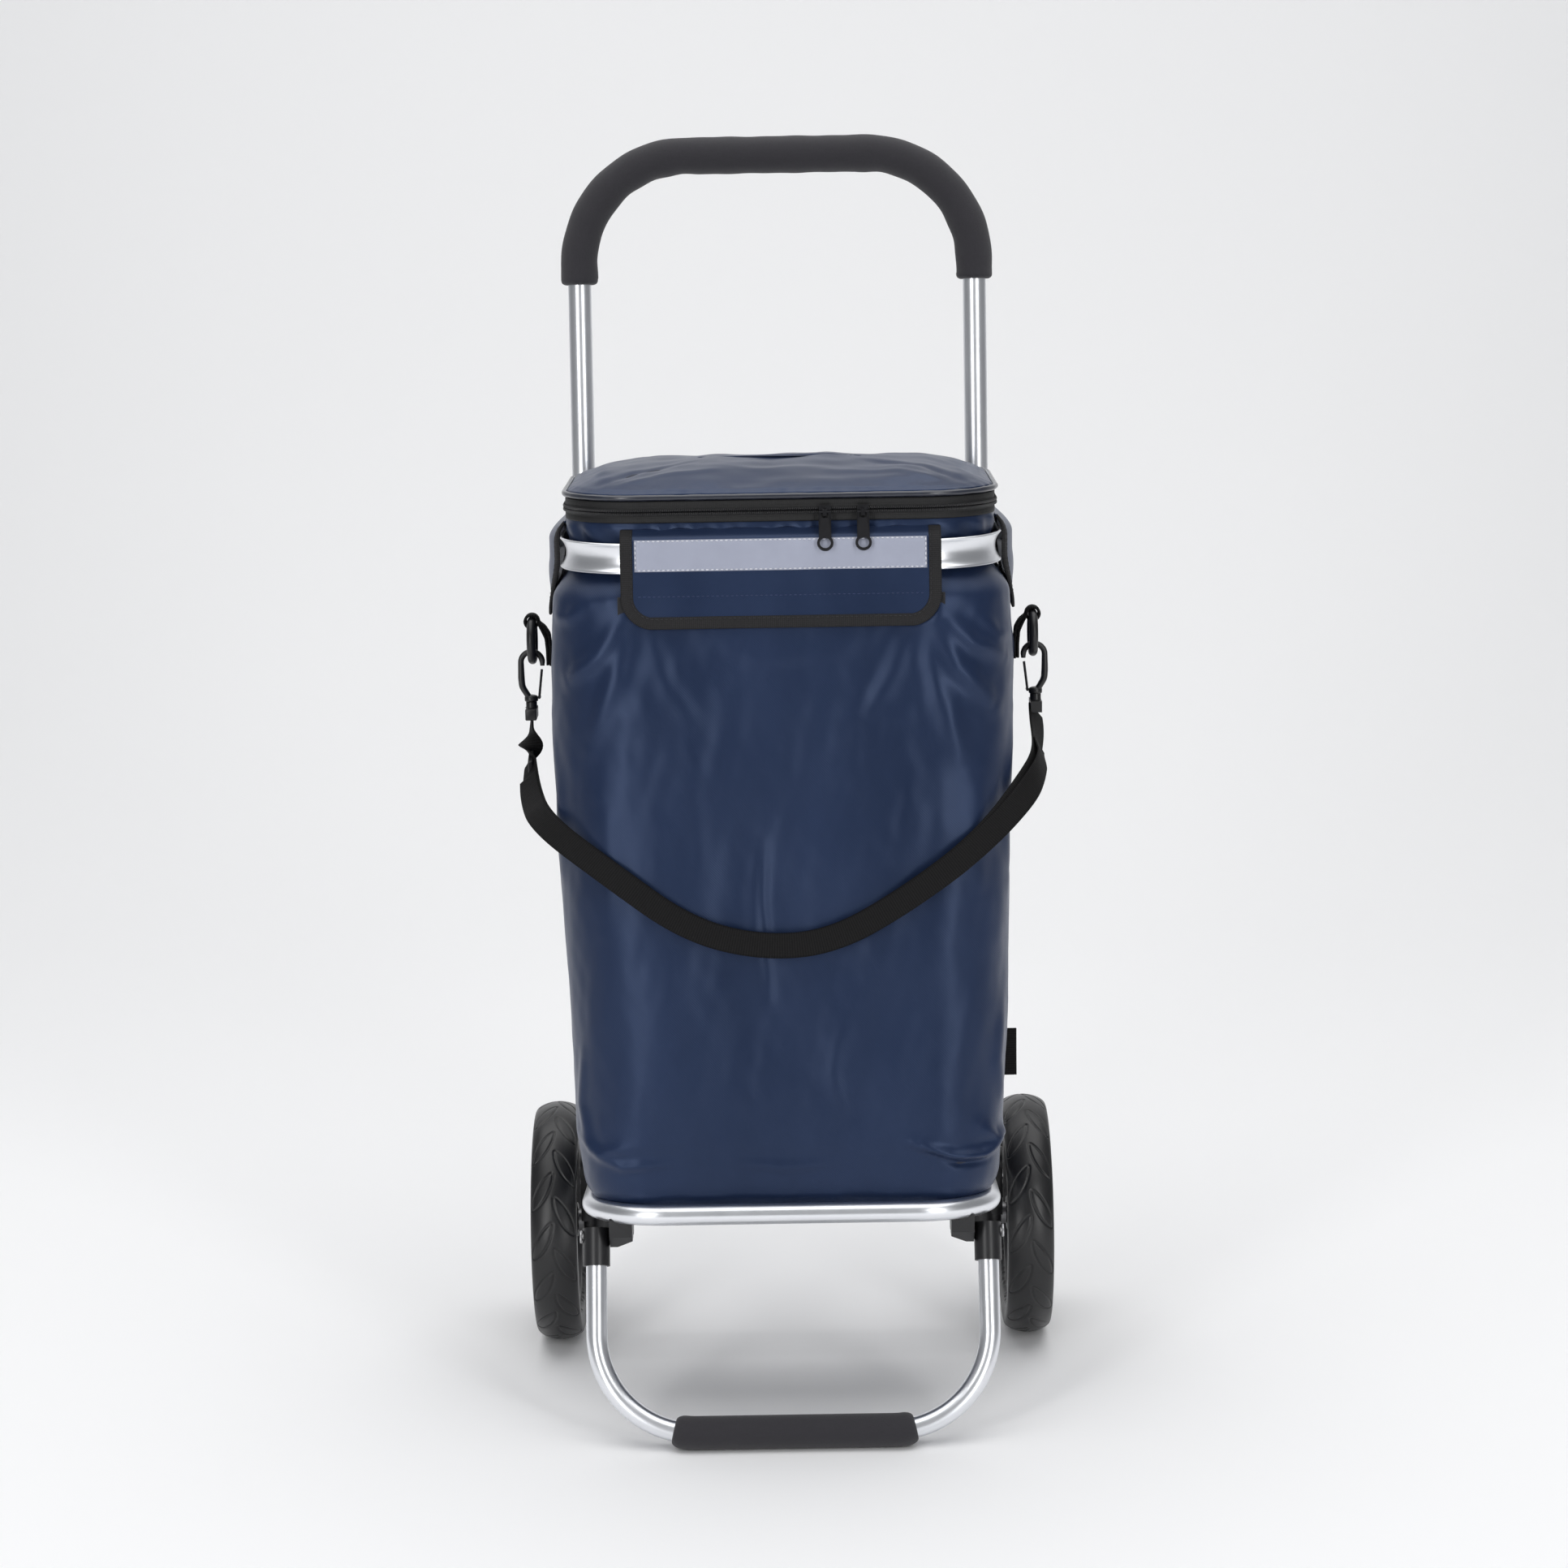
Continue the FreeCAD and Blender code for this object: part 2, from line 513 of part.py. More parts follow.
# ---------------------------------------------------------------- bag
def rounded_section(half, front, rear, bend, z, tilt=0):
    """A rounded rectangle in a level or tilted plane, as one closed wire."""
    c = bend * (1 - math.sqrt(0.5))
    spots = [(-half, -front), (half, -front), (half, rear), (-half, rear)]
    edges, ends = [], []
    for (x, y), (sx, sy) in zip(spots, ((1, 1), (-1, 1), (-1, -1), (1, -1))):
        a, b = V(x, y + sy * bend, 0), V(x + sx * bend, y, 0)
        middle = V(x + sx * c, y + sy * c, 0)
        first, last = (a, b) if sx == sy else (b, a)
        ends.append((first, last))
        edges.append(Part.Arc(first, middle, last).toShape())
    lines = [Part.LineSegment(ends[i][1], ends[(i + 1) % 4][0]).toShape() for i in range(4)]
    wire = Part.Wire([e for pair in zip(edges, lines) for e in pair])
    wire.Placement = FreeCAD.Placement(V(0, 0, z), Rot(X_AXIS, tilt))
    return wire


floor_z = size("platform_front_z") + size("platform_front_y") * rise / run_y \
    + size("platform_radius") + 1.2
BAG_SECTIONS = [  # half width, front depth, rear depth, corner, height, tilt: from the floor to the rim
    (150, 144, 62, 44, floor_z, -platform_tilt),
    (162, 154, 72, 50, floor_z + 11, -platform_tilt),
    (168, 156, 80, 55, 236, 0),
    (175, 143, 92, 60, 400, 0),
    (181, 129, 107, 62, 600, 0),
    (176, 125, 110, 62, 655, 0),
    (162, 115, 112, 58, 671, 0),
    (size("rim_half") - 3, size("rim_front"), size("rim_rear") - 1, size("rim_bend"), 692, 0),
    (size("rim_half"), size("rim_front"), size("rim_rear"), size("rim_bend"), 711, 0),
]


def bag_shell():
    """The soft bag as an open shell: an outer loft less an inner one that rises through the mouth."""
    wall = size("bag_wall")
    outer = Part.makeLoft([rounded_section(*row) for row in BAG_SECTIONS], True, True)
    inner_rows = [(h - wall, f - wall, r - wall, b - wall, z, t) for h, f, r, b, z, t in BAG_SECTIONS]
    first = inner_rows[0]
    inner_rows[0] = (*first[:4], first[4] + wall, first[5])
    last = inner_rows[-1]
    inner_rows.append((*last[:4], last[4] + 5, last[5]))
    return outer.cut(Part.makeLoft([rounded_section(*row) for row in inner_rows], True, True))


keep(shown("bag_body", bag_shell()), "bag_body")

# the label is a blank folded tab sewn into the bag's right seam
keep(block("side_label", 171.6, -62, 262, 9, 1.6, 38), "side_label")

# ---------------------------------------------------------------- zip
band_rear = size("rim_rear") - 14
band_depth = size("rim_front") + band_rear
half_gap = size("chain_gap") / 2
tape_in = size("small_gap")
tape_out = tape_in + size("tape_wall")
teeth_in = tape_out + 0.05
teeth_out = teeth_in + size("teeth_depth")


def zip_band(label, low, high, near, far):
    """A band round the front and the two sides of the rim."""
    section = [(near, low), (far, low), (far, high), (near, high)]
    band = u_band(size("rim_half"), band_depth, size("rim_bend"), section)
    keep(shown(label, band, front_placement(band_rear, size("zip_z"))), label)


zip_band("zip_tape_lower", -size("tape_height") - half_gap, -half_gap, tape_in, tape_out)
zip_band("zip_teeth_lower", -size("teeth_height") - half_gap, -half_gap, teeth_in, teeth_out)
zip_band("zip_tape_upper", half_gap, size("tape_height") + half_gap, tape_in, tape_out)
zip_band("zip_teeth_upper", half_gap, size("teeth_height") + half_gap, teeth_in, teeth_out)
keep(block("lid_hinge_band", -105, size("rim_rear") - 1.2, 711.4, 210, 1.2, 15.6), "lid_hinge_band")

# ---------------------------------------------------------------- lid
LID_ROWS = [  # inset from the rim, and height
    (0.5, 729.2), (0.8, 733), (7, 738.5), (24, 744.5), (52, 749.5), (92, size("lid_crown")),
]


def lid_rows(wall):
    rows = []
    for inset, z in LID_ROWS:
        bend = max(size("rim_bend") - inset * 0.6, 12)
        rows.append((size("rim_half") - inset - wall, size("rim_front") - inset - wall,
                     size("rim_rear") - inset - wall, bend, z - wall))
    return rows


def lid_shell():
    """A low domed panel, hollow underneath."""
    outer = Part.makeLoft([rounded_section(*row) for row in lid_rows(0)], True, True)
    inner = Part.makeLoft([rounded_section(*row) for row in lid_rows(size("lid_wall"))], True, True)
    return outer.cut(inner)


keep(shown("lid_panel", lid_shell()), "lid_panel")


def lid_piping():
    """A welt of round section that follows the seam between lid and zip."""
    r, out = size("piping_radius"), 0.3
    grow = r + out
    wire = rounded_section(size("rim_half") + grow - 0.5, size("rim_front") + grow - 0.5,
                           size("rim_rear") + grow - 0.5, size("rim_bend") + grow, 0)
    path = wire.copy()
    path.translate(V(0, 0, size("hinge_z")))
    start = path.Edges[0].valueAt(path.Edges[0].FirstParameter)
    direction = path.Edges[0].tangentAt(path.Edges[0].FirstParameter)
    return swept(path, round_profile(start, direction, r))


keep(shown("lid_piping", lid_piping()), "lid_piping")

# ---------------------------------------------------------------- zip sliders and pulls
zip_face = size("rim_front") + teeth_out  # how far the teeth stand forward
pull_axis_y = -zip_face - 3.1
pull_axis_z = size("zip_z") - 1.5
PULL_TILT = 26  # degrees by which a pull at rest leans forward over the flap


def zip_slider(side):
    """Two plates joined by a neck between the rows of teeth, with a bow for the pull."""
    x, wide = size(f"slider_{side}_x"), size("slider_width")
    z = size("zip_z")
    front = Part.makeBox(wide, 1.2, 7, V(x - wide / 2, -zip_face - 1.4, z - 3.5))
    neck = Part.makeBox(2, teeth_out - teeth_in + 1.3, size("chain_gap") - 0.3,
                        V(x - 1, -zip_face - 0.3, z - half_gap + 0.15))
    hole = Part.makeCylinder(1.1, 4, V(x - 2, pull_axis_y, pull_axis_z), X_AXIS)
    bow = Part.makeBox(3, 3.2, 5.4, V(x - 1.5, -zip_face - 4.4, z - 4.2)).cut(hole)
    keep(shown(f"zip_slider_{side}", front.fuse([neck, bow]).removeSplitter()),
         f"zip_slider_{side}")


def zip_pull(side):
    """A flat tab with a round hole at the bottom, hung from a bar through the slider's bow."""
    x, long, wide = size(f"slider_{side}_x"), size("pull_length"), size("pull_width")
    ring, thick = 6.2, 1.6
    bar = Part.makeCylinder(0.9, wide, V(x - wide / 2, 0, 0), X_AXIS)
    arms = [Part.makeBox(2, thick, 6, V(x + s, -thick / 2, -6)) for s in (-wide / 2, wide / 2 - 2)]
    tab = Part.makeBox(wide, thick, long - 12, V(x - wide / 2, -thick / 2, -long + 7))
    eye = Part.makeCylinder(ring, thick, V(x, -thick / 2, -long + ring), Y_AXIS)
    hole = Part.makeCylinder(4.2, 4, V(x, -2, -long + ring), Y_AXIS)
    shape = bar.fuse(arms + [tab, eye]).removeSplitter().cut(hole)
    shape.Placement = FreeCAD.Placement(V(0, pull_axis_y, pull_axis_z), Rot(X_AXIS, -PULL_TILT))
    keep(shown(f"zip_pull_{side}", shape), f"zip_pull_{side}")


for side, _ in SIDES:
    zip_slider(side)
    zip_pull(side)


# ---------------------------------------------------------------- flaps
def folded_strip(points, wall, half):
    """A strip of fabric, 2 * half wide along X, whose section in the YZ plane follows points."""
    shifted = []
    for i, p in enumerate(points):
        a, b = points[max(i - 1, 0)], points[min(i + 1, len(points) - 1)]
        run = V(0, b[0] - a[0], b[1] - a[1]).normalize()
        shifted.append((p[0] + run.z * wall, p[1] - run.y * wall))
    outline = [V(-half, y, z) for y, z in points + shifted[::-1]]
    return Part.Face(Part.makePolygon(outline + outline[:1])).extrude(V(2 * half, 0, 0))


FLAP_GAP = 1.8  # between a flap's upper part and its tongue, so that the tongue can swing right out
hoop_face = size("hoop_front") + size("channel_lip")
flap_in = hoop_face + 0.6
FRONT_FOLD = [(-size("rim_front") - 0.6, size("flap_top") + 3),
              (-size("rim_front") - 3, size("flap_top")),
              (-flap_in, size("flap_top") - 6), (-flap_in, size("flap_hinge_z") + FLAP_GAP)]
keep(shown("front_flap", folded_strip(FRONT_FOLD, size("flap_wall"), size("flap_half"))),
     "front_flap")
flap_face = flap_in + size("flap_wall")
keep(block("reflective_strip", "-Sizes.strip_half", -flap_face - 0.85, 676, "2 * Sizes.strip_half",
           0.8, 22), "reflective_strip")
keep(block("front_velcro", -124.5, -flap_in - 1.4, 641, 249, 0.9, 16), "front_velcro")


def tongue(half, drop, corner, wall):
    """A flat tongue in the XZ plane that hangs from z = 0 and has two round lower corners."""
    c = corner * (1 - math.sqrt(0.5))
    spots = [V(-half, 0, 0), V(-half, 0, -drop + corner), V(-half + corner, 0, -drop),
             V(half - corner, 0, -drop), V(half, 0, -drop + corner), V(half, 0, 0)]
    arcs = {1: V(-half + c, 0, -drop + c), 3: V(half - c, 0, -drop + c)}
    edges = []
    for i, (a, b) in enumerate(zip(spots, spots[1:] + spots[:1])):
        edges.append((Part.Arc(a, arcs[i], b) if i in arcs else Part.LineSegment(a, b)).toShape())
    return Part.Face(Part.Wire(edges)).extrude(V(0, -wall, 0))


drop = size("flap_hinge_z") - size("flap_bottom")
front_tongue = tongue(size("flap_half"), drop, size("flap_corner"), size("flap_wall"))
front_tongue.Placement = FreeCAD.Placement(
    V(0, -flap_in - 0.3, size("flap_hinge_z")), Rot(X_AXIS, -4))
keep(shown("front_flap_tongue", front_tongue), "front_flap_tongue")

side_face = size("hoop_half") + size("channel_lip") + 0.6
side_rows = [(-size("rim_half") - 1.9, size("flap_top") + 3),
             (-size("rim_half") - 3.5, size("flap_top")),
             (-side_face, size("flap_top") - 6), (-side_face, size("flap_hinge_z") + FLAP_GAP)]
SIDE_TILT = 19
for side, sign in SIDES:
    turn = FreeCAD.Placement(V(0, size("side_flap_middle"), 0), Rot(Z_AXIS, 90 * sign))
    upper = folded_strip(side_rows, size("flap_wall"), size("side_flap_half"))
    keep(shown(f"side_flap_{side}", upper, turn), f"side_flap_{side}")
    lower = tongue(size("side_flap_half"), drop, size("flap_corner"), size("flap_wall"))
    tilt = FreeCAD.Placement(V(0, -side_face - 0.3, size("flap_hinge_z")), Rot(X_AXIS, -SIDE_TILT))
    keep(shown(f"side_flap_tongue_{side}", lower, turn.multiply(tilt)), f"side_flap_tongue_{side}")


def side_velcro(sign):
    """A hook-and-loop patch on the bag's side, under the tongue."""
    patch = Part.makeBox(100, 1, 14, V(-50, -1, -14))
    place = FreeCAD.Placement(V(0, size("side_flap_middle"), 0), Rot(Z_AXIS, 90 * sign))
    lean = FreeCAD.Placement(V(0, -176.5, 655), Rot(X_AXIS, -5.5))
    patch.Placement = place.multiply(lean)
    return patch


keep(shown("side_velcros", Part.makeCompound([side_velcro(sign) for _, sign in SIDES])),
     "side_velcros")


# ---------------------------------------------------------------- strap fittings
def ring_tab(sign):
    """A webbing loop sewn to the bag's side that goes round the top of the ring."""
    x, z, wide = size("ring_x"), size("ring_z") + size("ring_radius"), size("tab_width")
    roll = Part.makeCylinder(6.6, wide, V(x, -wide / 2, z - 0.4), Y_AXIS)
    bridge = Part.makeBox(x - 182, wide, 3, V(182, -wide / 2, z + 2.2))
    sewn = Part.makeBox(2, wide, 38, V(182, -wide / 2, z - 32.8))
    hole = Part.makeCylinder(5, wide, V(x, -wide / 2, z - 0.4), Y_AXIS)
    shape = roll.fuse([bridge, sewn]).removeSplitter().cut(hole)
    return shape if sign > 0 else shape.mirror(V(0, 0, 0), X_AXIS)


def strap_ring(sign):
    return Part.makeTorus(size("ring_radius"), size("ring_rod"),
                          V(sign * size("ring_x"), 0, size("ring_z")), X_AXIS)


keep(shown("ring_tabs", Part.makeCompound([ring_tab(sign) for _, sign in SIDES])), "ring_tabs")
keep(shown("strap_rings", Part.makeCompound([strap_ring(sign) for _, sign in SIDES])), "strap_rings")

HOOK_BASE, HOOK_CROWN = V(201, 0, 562), V(200, 0, 590.5)
CROWN_RADIUS, NOSE_Z = 8.5, 588


def snap_hook(side, sign):
    """A bent hook in the XZ plane: a spine, a round crown over the ring and a short nose."""
    shoulder = HOOK_CROWN + V(CROWN_RADIUS, 0, 0)
    nose = HOOK_CROWN - V(CROWN_RADIUS, 0, 0)
    edges = [Part.LineSegment(HOOK_BASE, V(shoulder.x, 0, 574)).toShape(),
             Part.LineSegment(V(shoulder.x, 0, 574), shoulder).toShape(),
             Part.Arc(shoulder, HOOK_CROWN + V(0, 0, CROWN_RADIUS), nose).toShape(),
             Part.LineSegment(nose, V(nose.x, 0, NOSE_Z)).toShape()]
    wire = Part.Wire(edges)
    direction = (V(shoulder.x, 0, 574) - HOOK_BASE).normalize()
    path = wire.makePipeShell([round_profile(HOOK_BASE, direction, size("hook_rod"))], True, True, 2)
    base = Part.makeCylinder(5, 4, V(201, 0, 559.5), Z_AXIS)
    solid = path.fuse(base).removeSplitter()
    keep(shown(f"snap_hook_{side}", solid if sign > 0 else solid.mirror(V(0, 0, 0), X_AXIS)),
         f"snap_hook_{side}")


GATE_FOOT, GATE_TIP = V(194.6, 0, 562.5), V(192, 0, 584.8)


def hook_gate(side, sign):
    """The sprung wire that closes the hook's mouth."""
    run = GATE_TIP - GATE_FOOT
    wire = Part.makeCylinder(1, run.Length, GATE_FOOT, run)
    foot = Part.makeCylinder(1.3, 5, GATE_FOOT - V(0, 2.5, 0), Y_AXIS)
    shape = wire.fuse(foot).removeSplitter()
    keep(shown(f"hook_gate_{side}", shape if sign > 0 else shape.mirror(V(0, 0, 0), X_AXIS)),
         f"hook_gate_{side}")


def hook_swivel(side, sign):
    """The swivelling eye that the webbing is sewn through."""
    barrel = Part.makeCylinder(4.4, 5.8, V(201, 0, 553.5), Z_AXIS)
    eye = Part.makeBox(9, 24, 9, V(196.5, -12, 545.2))
    slot = Part.makeBox(5, 20, 4, V(198.5, -10, 547.2))
    shape = barrel.fuse(eye).removeSplitter().cut(slot)
    keep(shown(f"hook_swivel_{side}", shape if sign > 0 else shape.mirror(V(0, 0, 0), X_AXIS)),
         f"hook_swivel_{side}")


for side, sign in SIDES:
    snap_hook(side, sign)
    hook_gate(side, sign)
    hook_swivel(side, sign)

# the webbing's route from the left hook, over the front of the bag, to the right hook
STRAP_ROUTE = [
    (-201, 0, 545), (-203, -10, 515), (-200, -46, 492), (-187, -112, 480), (-134, -153, 448),
    (-77, -155, 405), (-20, -155, 389), (35, -155, 393), (92, -155, 425), (150, -150, 467),
    (191, -99, 507), (201, -33, 527), (201, 0, 545),
]


def route_wire(points):
    """Straight runs joined by tangent arcs, each as large as its two runs allow."""
    spots = [V(*p) for p in points]
    edges, at = [], spots[0]
    for a, b, c in zip(spots, spots[1:], spots[2:]):
        into, out = (a - b), (c - b)
        turn = math.pi - into.getAngle(out)
        short = min(into.Length, out.Length)
        back = 0.45 * short
        radius = back / math.tan(turn / 2)
        into.normalize()
        out.normalize()
        start, end = b + into * back, b + out * back
        inward = (into + out).normalize()
        middle = b + inward * (math.hypot(radius, back) - radius)
        print(f"strap turn {math.degrees(turn):5.1f} deg, radius {radius:6.1f}")
        edges += [Part.LineSegment(at, start).toShape(), Part.Arc(start, middle, end).toShape()]
        at = end
    edges.append(Part.LineSegment(at, spots[-1]).toShape())
    return Part.Wire(edges)


strap_wire = route_wire(STRAP_ROUTE)
strap_start = V(*STRAP_ROUTE[0])
strap_run = V(*STRAP_ROUTE[1]) - strap_start
strap_profile = round_profile(strap_start, strap_run, size("strap_radius"))
strap = strap_wire.makePipeShell([strap_profile], True, True)
expected = math.pi * size("strap_radius") ** 2 * strap_wire.Length
print(f"strap length {strap_wire.Length:.1f}, volume ratio {strap.Volume / expected:.4f}")
keep(shown("shoulder_strap", strap), "shoulder_strap")

ADJUSTER_AT = V(-201.5, -8, 505)


def strap_adjuster():
    """A three-bar buckle that the webbing threads through."""
    frame = Part.makeBox(4, 30, 32, V(-2, -15, -16))
    slots = [Part.makeBox(4, 23, 8, V(-2, -11.5, z)) for z in (-12, 4)]
    shape = frame.cut(slots[0]).cut(slots[1])
    shape.Placement = FreeCAD.Placement(ADJUSTER_AT, Rot(X_AXIS, 20))
    return shape


keep(shown("strap_adjuster", strap_adjuster()), "strap_adjuster")

# ---------------------------------------------------------------- checks and export
doc.recompute()
os.makedirs("parts", exist_ok=True)
for obj in doc.Objects:
    if any(word in obj.State for word in ("Invalid", "Error")):
        raise RuntimeError(f"{obj.Label}: {obj.State} {obj.getStatusString()}")
labels = [obj.Label for obj in parts]
if len(set(labels)) != len(labels):
    raise RuntimeError("two sub-parts share a label")
for obj in parts:
    shape = obj.Shape
    if shape.isNull() or not shape.isValid() or not shape.Solids or shape.Volume <= 0:
        raise RuntimeError(f"{obj.Label}: not a sound solid")
for obj in parts:
    obj.Shape.exportStep(f"parts/{obj.Label}.step")
whole = Part.makeCompound([obj.Shape for obj in parts]).BoundBox
print(f"{len(parts)} sub-parts; X {whole.XMin:.1f} {whole.XMax:.1f}  Y {whole.YMin:.1f} {whole.YMax:.1f}"
      f"  Z {whole.ZMin:.1f} {whole.ZMax:.1f}")
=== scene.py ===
"""The looks of a two-wheeled shopping trolley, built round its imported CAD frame.

Lengths in this script are millimetres in the frame's own axes; MM turns them into metres.
"""
import json
import math
import bmesh
import bpy
import numpy as np
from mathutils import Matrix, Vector


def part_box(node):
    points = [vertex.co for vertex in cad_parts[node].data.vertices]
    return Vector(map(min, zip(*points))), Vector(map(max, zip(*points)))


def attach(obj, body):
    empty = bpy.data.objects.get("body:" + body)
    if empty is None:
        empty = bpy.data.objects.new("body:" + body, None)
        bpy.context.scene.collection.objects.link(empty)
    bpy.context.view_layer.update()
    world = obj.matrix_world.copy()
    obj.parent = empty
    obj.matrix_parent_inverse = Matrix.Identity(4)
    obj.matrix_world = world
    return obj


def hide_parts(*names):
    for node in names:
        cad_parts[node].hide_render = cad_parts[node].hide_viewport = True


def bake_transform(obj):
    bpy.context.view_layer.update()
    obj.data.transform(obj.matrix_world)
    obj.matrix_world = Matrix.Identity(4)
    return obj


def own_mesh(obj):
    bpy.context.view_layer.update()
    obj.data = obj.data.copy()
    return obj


MM = 0.001
UP = np.array([0.0, 0.0, 1.0])
SIDES = (("left", -1), ("right", 1))
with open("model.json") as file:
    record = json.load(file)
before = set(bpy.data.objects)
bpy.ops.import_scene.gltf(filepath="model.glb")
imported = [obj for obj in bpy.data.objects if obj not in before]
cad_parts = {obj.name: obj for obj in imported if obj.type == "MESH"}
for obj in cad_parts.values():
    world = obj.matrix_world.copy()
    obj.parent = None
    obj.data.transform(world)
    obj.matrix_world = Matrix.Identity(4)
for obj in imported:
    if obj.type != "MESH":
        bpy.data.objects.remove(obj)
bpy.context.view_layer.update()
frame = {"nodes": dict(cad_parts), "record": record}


def box_mm(node):
    """Lowest and highest corner of a CAD node in millimetres."""
    low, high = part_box(node)
    return np.array(low) / MM, np.array(high) / MM


# ---------------------------------------------------------------- materials
def add(tree, kind, inputs=None, **settings):
    """A shader node with its settings, and its inputs set or linked."""
    made = tree.nodes.new(kind)
    for key, value in settings.items():
        setattr(made, key, value)
    for key, value in (inputs or {}).items():
        if isinstance(value, bpy.types.NodeSocket):
            tree.links.new(value, made.inputs[key])
        else:
            made.inputs[key].default_value = value
    return made


def calc(tree, operation, a, b=0.0):
    return add(tree, "ShaderNodeMath", {0: a, 1: b}, operation=operation).outputs[0]


def object_coords(tree):
    return add(tree, "ShaderNodeTexCoord").outputs["Object"]


def noise(tree, coords, scale, detail=3.0, roughness=0.55):
    made = add(tree, "ShaderNodeTexNoise",
               {"Vector": coords, "Scale": scale, "Detail": detail, "Roughness": roughness})
    return made.outputs["Fac"]


def mixed(tree, factor, dark, light):
    """A colour between two, by a factor from 0 to 1."""
    made = add(tree, "ShaderNodeMix", data_type="RGBA")
    tree.links.new(factor, made.inputs[0])
    made.inputs[6].default_value = (*dark, 1)
    made.inputs[7].default_value = (*light, 1)
    return made.outputs[2]


def ranged(tree, value, low, high):
    """A 0 to 1 value mapped to low to high."""
    return add(tree, "ShaderNodeMapRange",
               {"Value": value, "To Min": low, "To Max": high}).outputs["Result"]


def bumped(tree, height, distance, strength=1.0, below=None):
    """A bump of that height in millimetres, laid over another."""
    made = add(tree, "ShaderNodeBump",
               {"Height": height, "Distance": distance * MM, "Strength": strength})
    if below is not None:
        tree.links.new(below, made.inputs["Normal"])
    return made.outputs["Normal"]


def material(made, colour, roughness, bump=None, **fixed):
    """A Principled material; colour and roughness may be sockets of its own tree."""
    tree = made.node_tree
    shader = tree.nodes["Principled BSDF"]
    for key, value in (("Base Color", colour), ("Roughness", roughness), ("Normal", bump)):
        if isinstance(value, bpy.types.NodeSocket):
            tree.links.new(value, shader.inputs[key])
        elif value is not None:
            shader.inputs[key].default_value = value
    for key, value in fixed.items():
        shader.inputs[key.replace("_", " ")].default_value = value
    return made


def blank(name):
    made = bpy.data.materials.new(name)
    made.use_nodes = True
    return made, made.node_tree


def aluminium():
    made, tree = blank("aluminium_satin")
    coords = object_coords(tree)
    cloud = noise(tree, coords, 22)
    grain = noise(tree, coords, 1500, 2)
    return material(made, mixed(tree, cloud, (0.80, 0.815, 0.85), (0.86, 0.875, 0.905)),
                    ranged(tree, noise(tree, coords, 60), 0.27, 0.33),
                    bumped(tree, grain, 0.004), Metallic=1.0)


def metal(name, colour, rough):
    made, tree = blank(name)
    coords = object_coords(tree)
    grain = noise(tree, coords, 900, 2)
    darker = tuple(c * 0.75 for c in colour)
    return material(made, mixed(tree, noise(tree, coords, 140), darker, colour),
                    ranged(tree, grain, rough * 0.8, rough * 1.25),
                    bumped(tree, grain, 0.015), Metallic=1.0)


def foam():
    made, tree = blank("foam_black")
    coords = object_coords(tree)
    cells = noise(tree, coords, 1900, 2)
    return material(made, mixed(tree, cells, (0.006, 0.0055, 0.008), (0.028, 0.026, 0.033)), 0.88,
                    bumped(tree, cells, 0.25, 0.8, bumped(tree, noise(tree, coords, 160), 0.4, 0.5)),
                    Sheen_Weight=0.12, Sheen_Roughness=0.6)


def moulded(name, colour, rough, grain=0.03):
    made, tree = blank(name)
    coords = object_coords(tree)
    fine = noise(tree, coords, 700, 2)
    lighter = tuple(c * 1.7 + 0.003 for c in colour)
    return material(made, mixed(tree, noise(tree, coords, 45), colour, lighter),
                    ranged(tree, noise(tree, coords, 90), rough * 0.85, rough * 1.2),
                    bumped(tree, fine, grain))


def tyre_rubber():
    made, tree = blank("tyre_rubber")
    coords = object_coords(tree)
    dust = noise(tree, coords, 35, 5)
    return material(made, mixed(tree, dust, (0.005, 0.005, 0.006), (0.015, 0.015, 0.016)),
                    ranged(tree, dust, 0.28, 0.44), bumped(tree, noise(tree, coords, 900), 0.06))


def map_coords(tree):
    """The piece's own flat coordinates in millimetres, as two sockets."""
    split = add(tree, "ShaderNodeSeparateXYZ", {0: add(tree, "ShaderNodeUVMap").outputs["UV"]})
    return split.outputs[0], split.outputs[1]


def wave(tree, value, pitch):
    """A sine from 0 to 1 along a value in millimetres."""
    turned = calc(tree, "SINE", calc(tree, "MULTIPLY", value, 2 * math.pi / pitch))
    return add(tree, "ShaderNodeMapRange", {"Value": turned, "From Min": -1.0}).outputs["Result"]


def twill(name, dark, light, rough, pitch, height, **fixed):
    """Coated twill: diagonal ribs crossed by fine threads, with tall soft clouds of painted sheen."""
    made, tree = blank(name)
    u, v = map_coords(tree)
    ribs = wave(tree, calc(tree, "ADD", u, v), pitch)
    threads = wave(tree, calc(tree, "SUBTRACT", u, v), pitch * 0.62)
    cloth = calc(tree, "MULTIPLY", calc(tree, "ADD", ribs, threads), 0.5)
    coords = object_coords(tree)
    upright = add(tree, "ShaderNodeMapping", {"Vector": coords, "Scale": (1, 1, 0.3)}).outputs["Vector"]
    # cloud: tall noise streaks that are painted sheen in the colour and plain variation in the roughness
    cloud = ranged(tree, noise(tree, upright, 11, 4), -0.55, 1.55)
    weave_and_sheen = calc(tree, "ADD", calc(tree, "MULTIPLY", cloth, 0.58), calc(tree, "MULTIPLY", cloud, 0.42))
    soft = bumped(tree, noise(tree, coords, 150), 0.06, 0.6)
    return material(made, mixed(tree, weave_and_sheen, dark, light),
                    ranged(tree, cloud, rough * 0.9, rough * 1.12),
                    bumped(tree, cloth, height, 1.0, soft), **fixed)


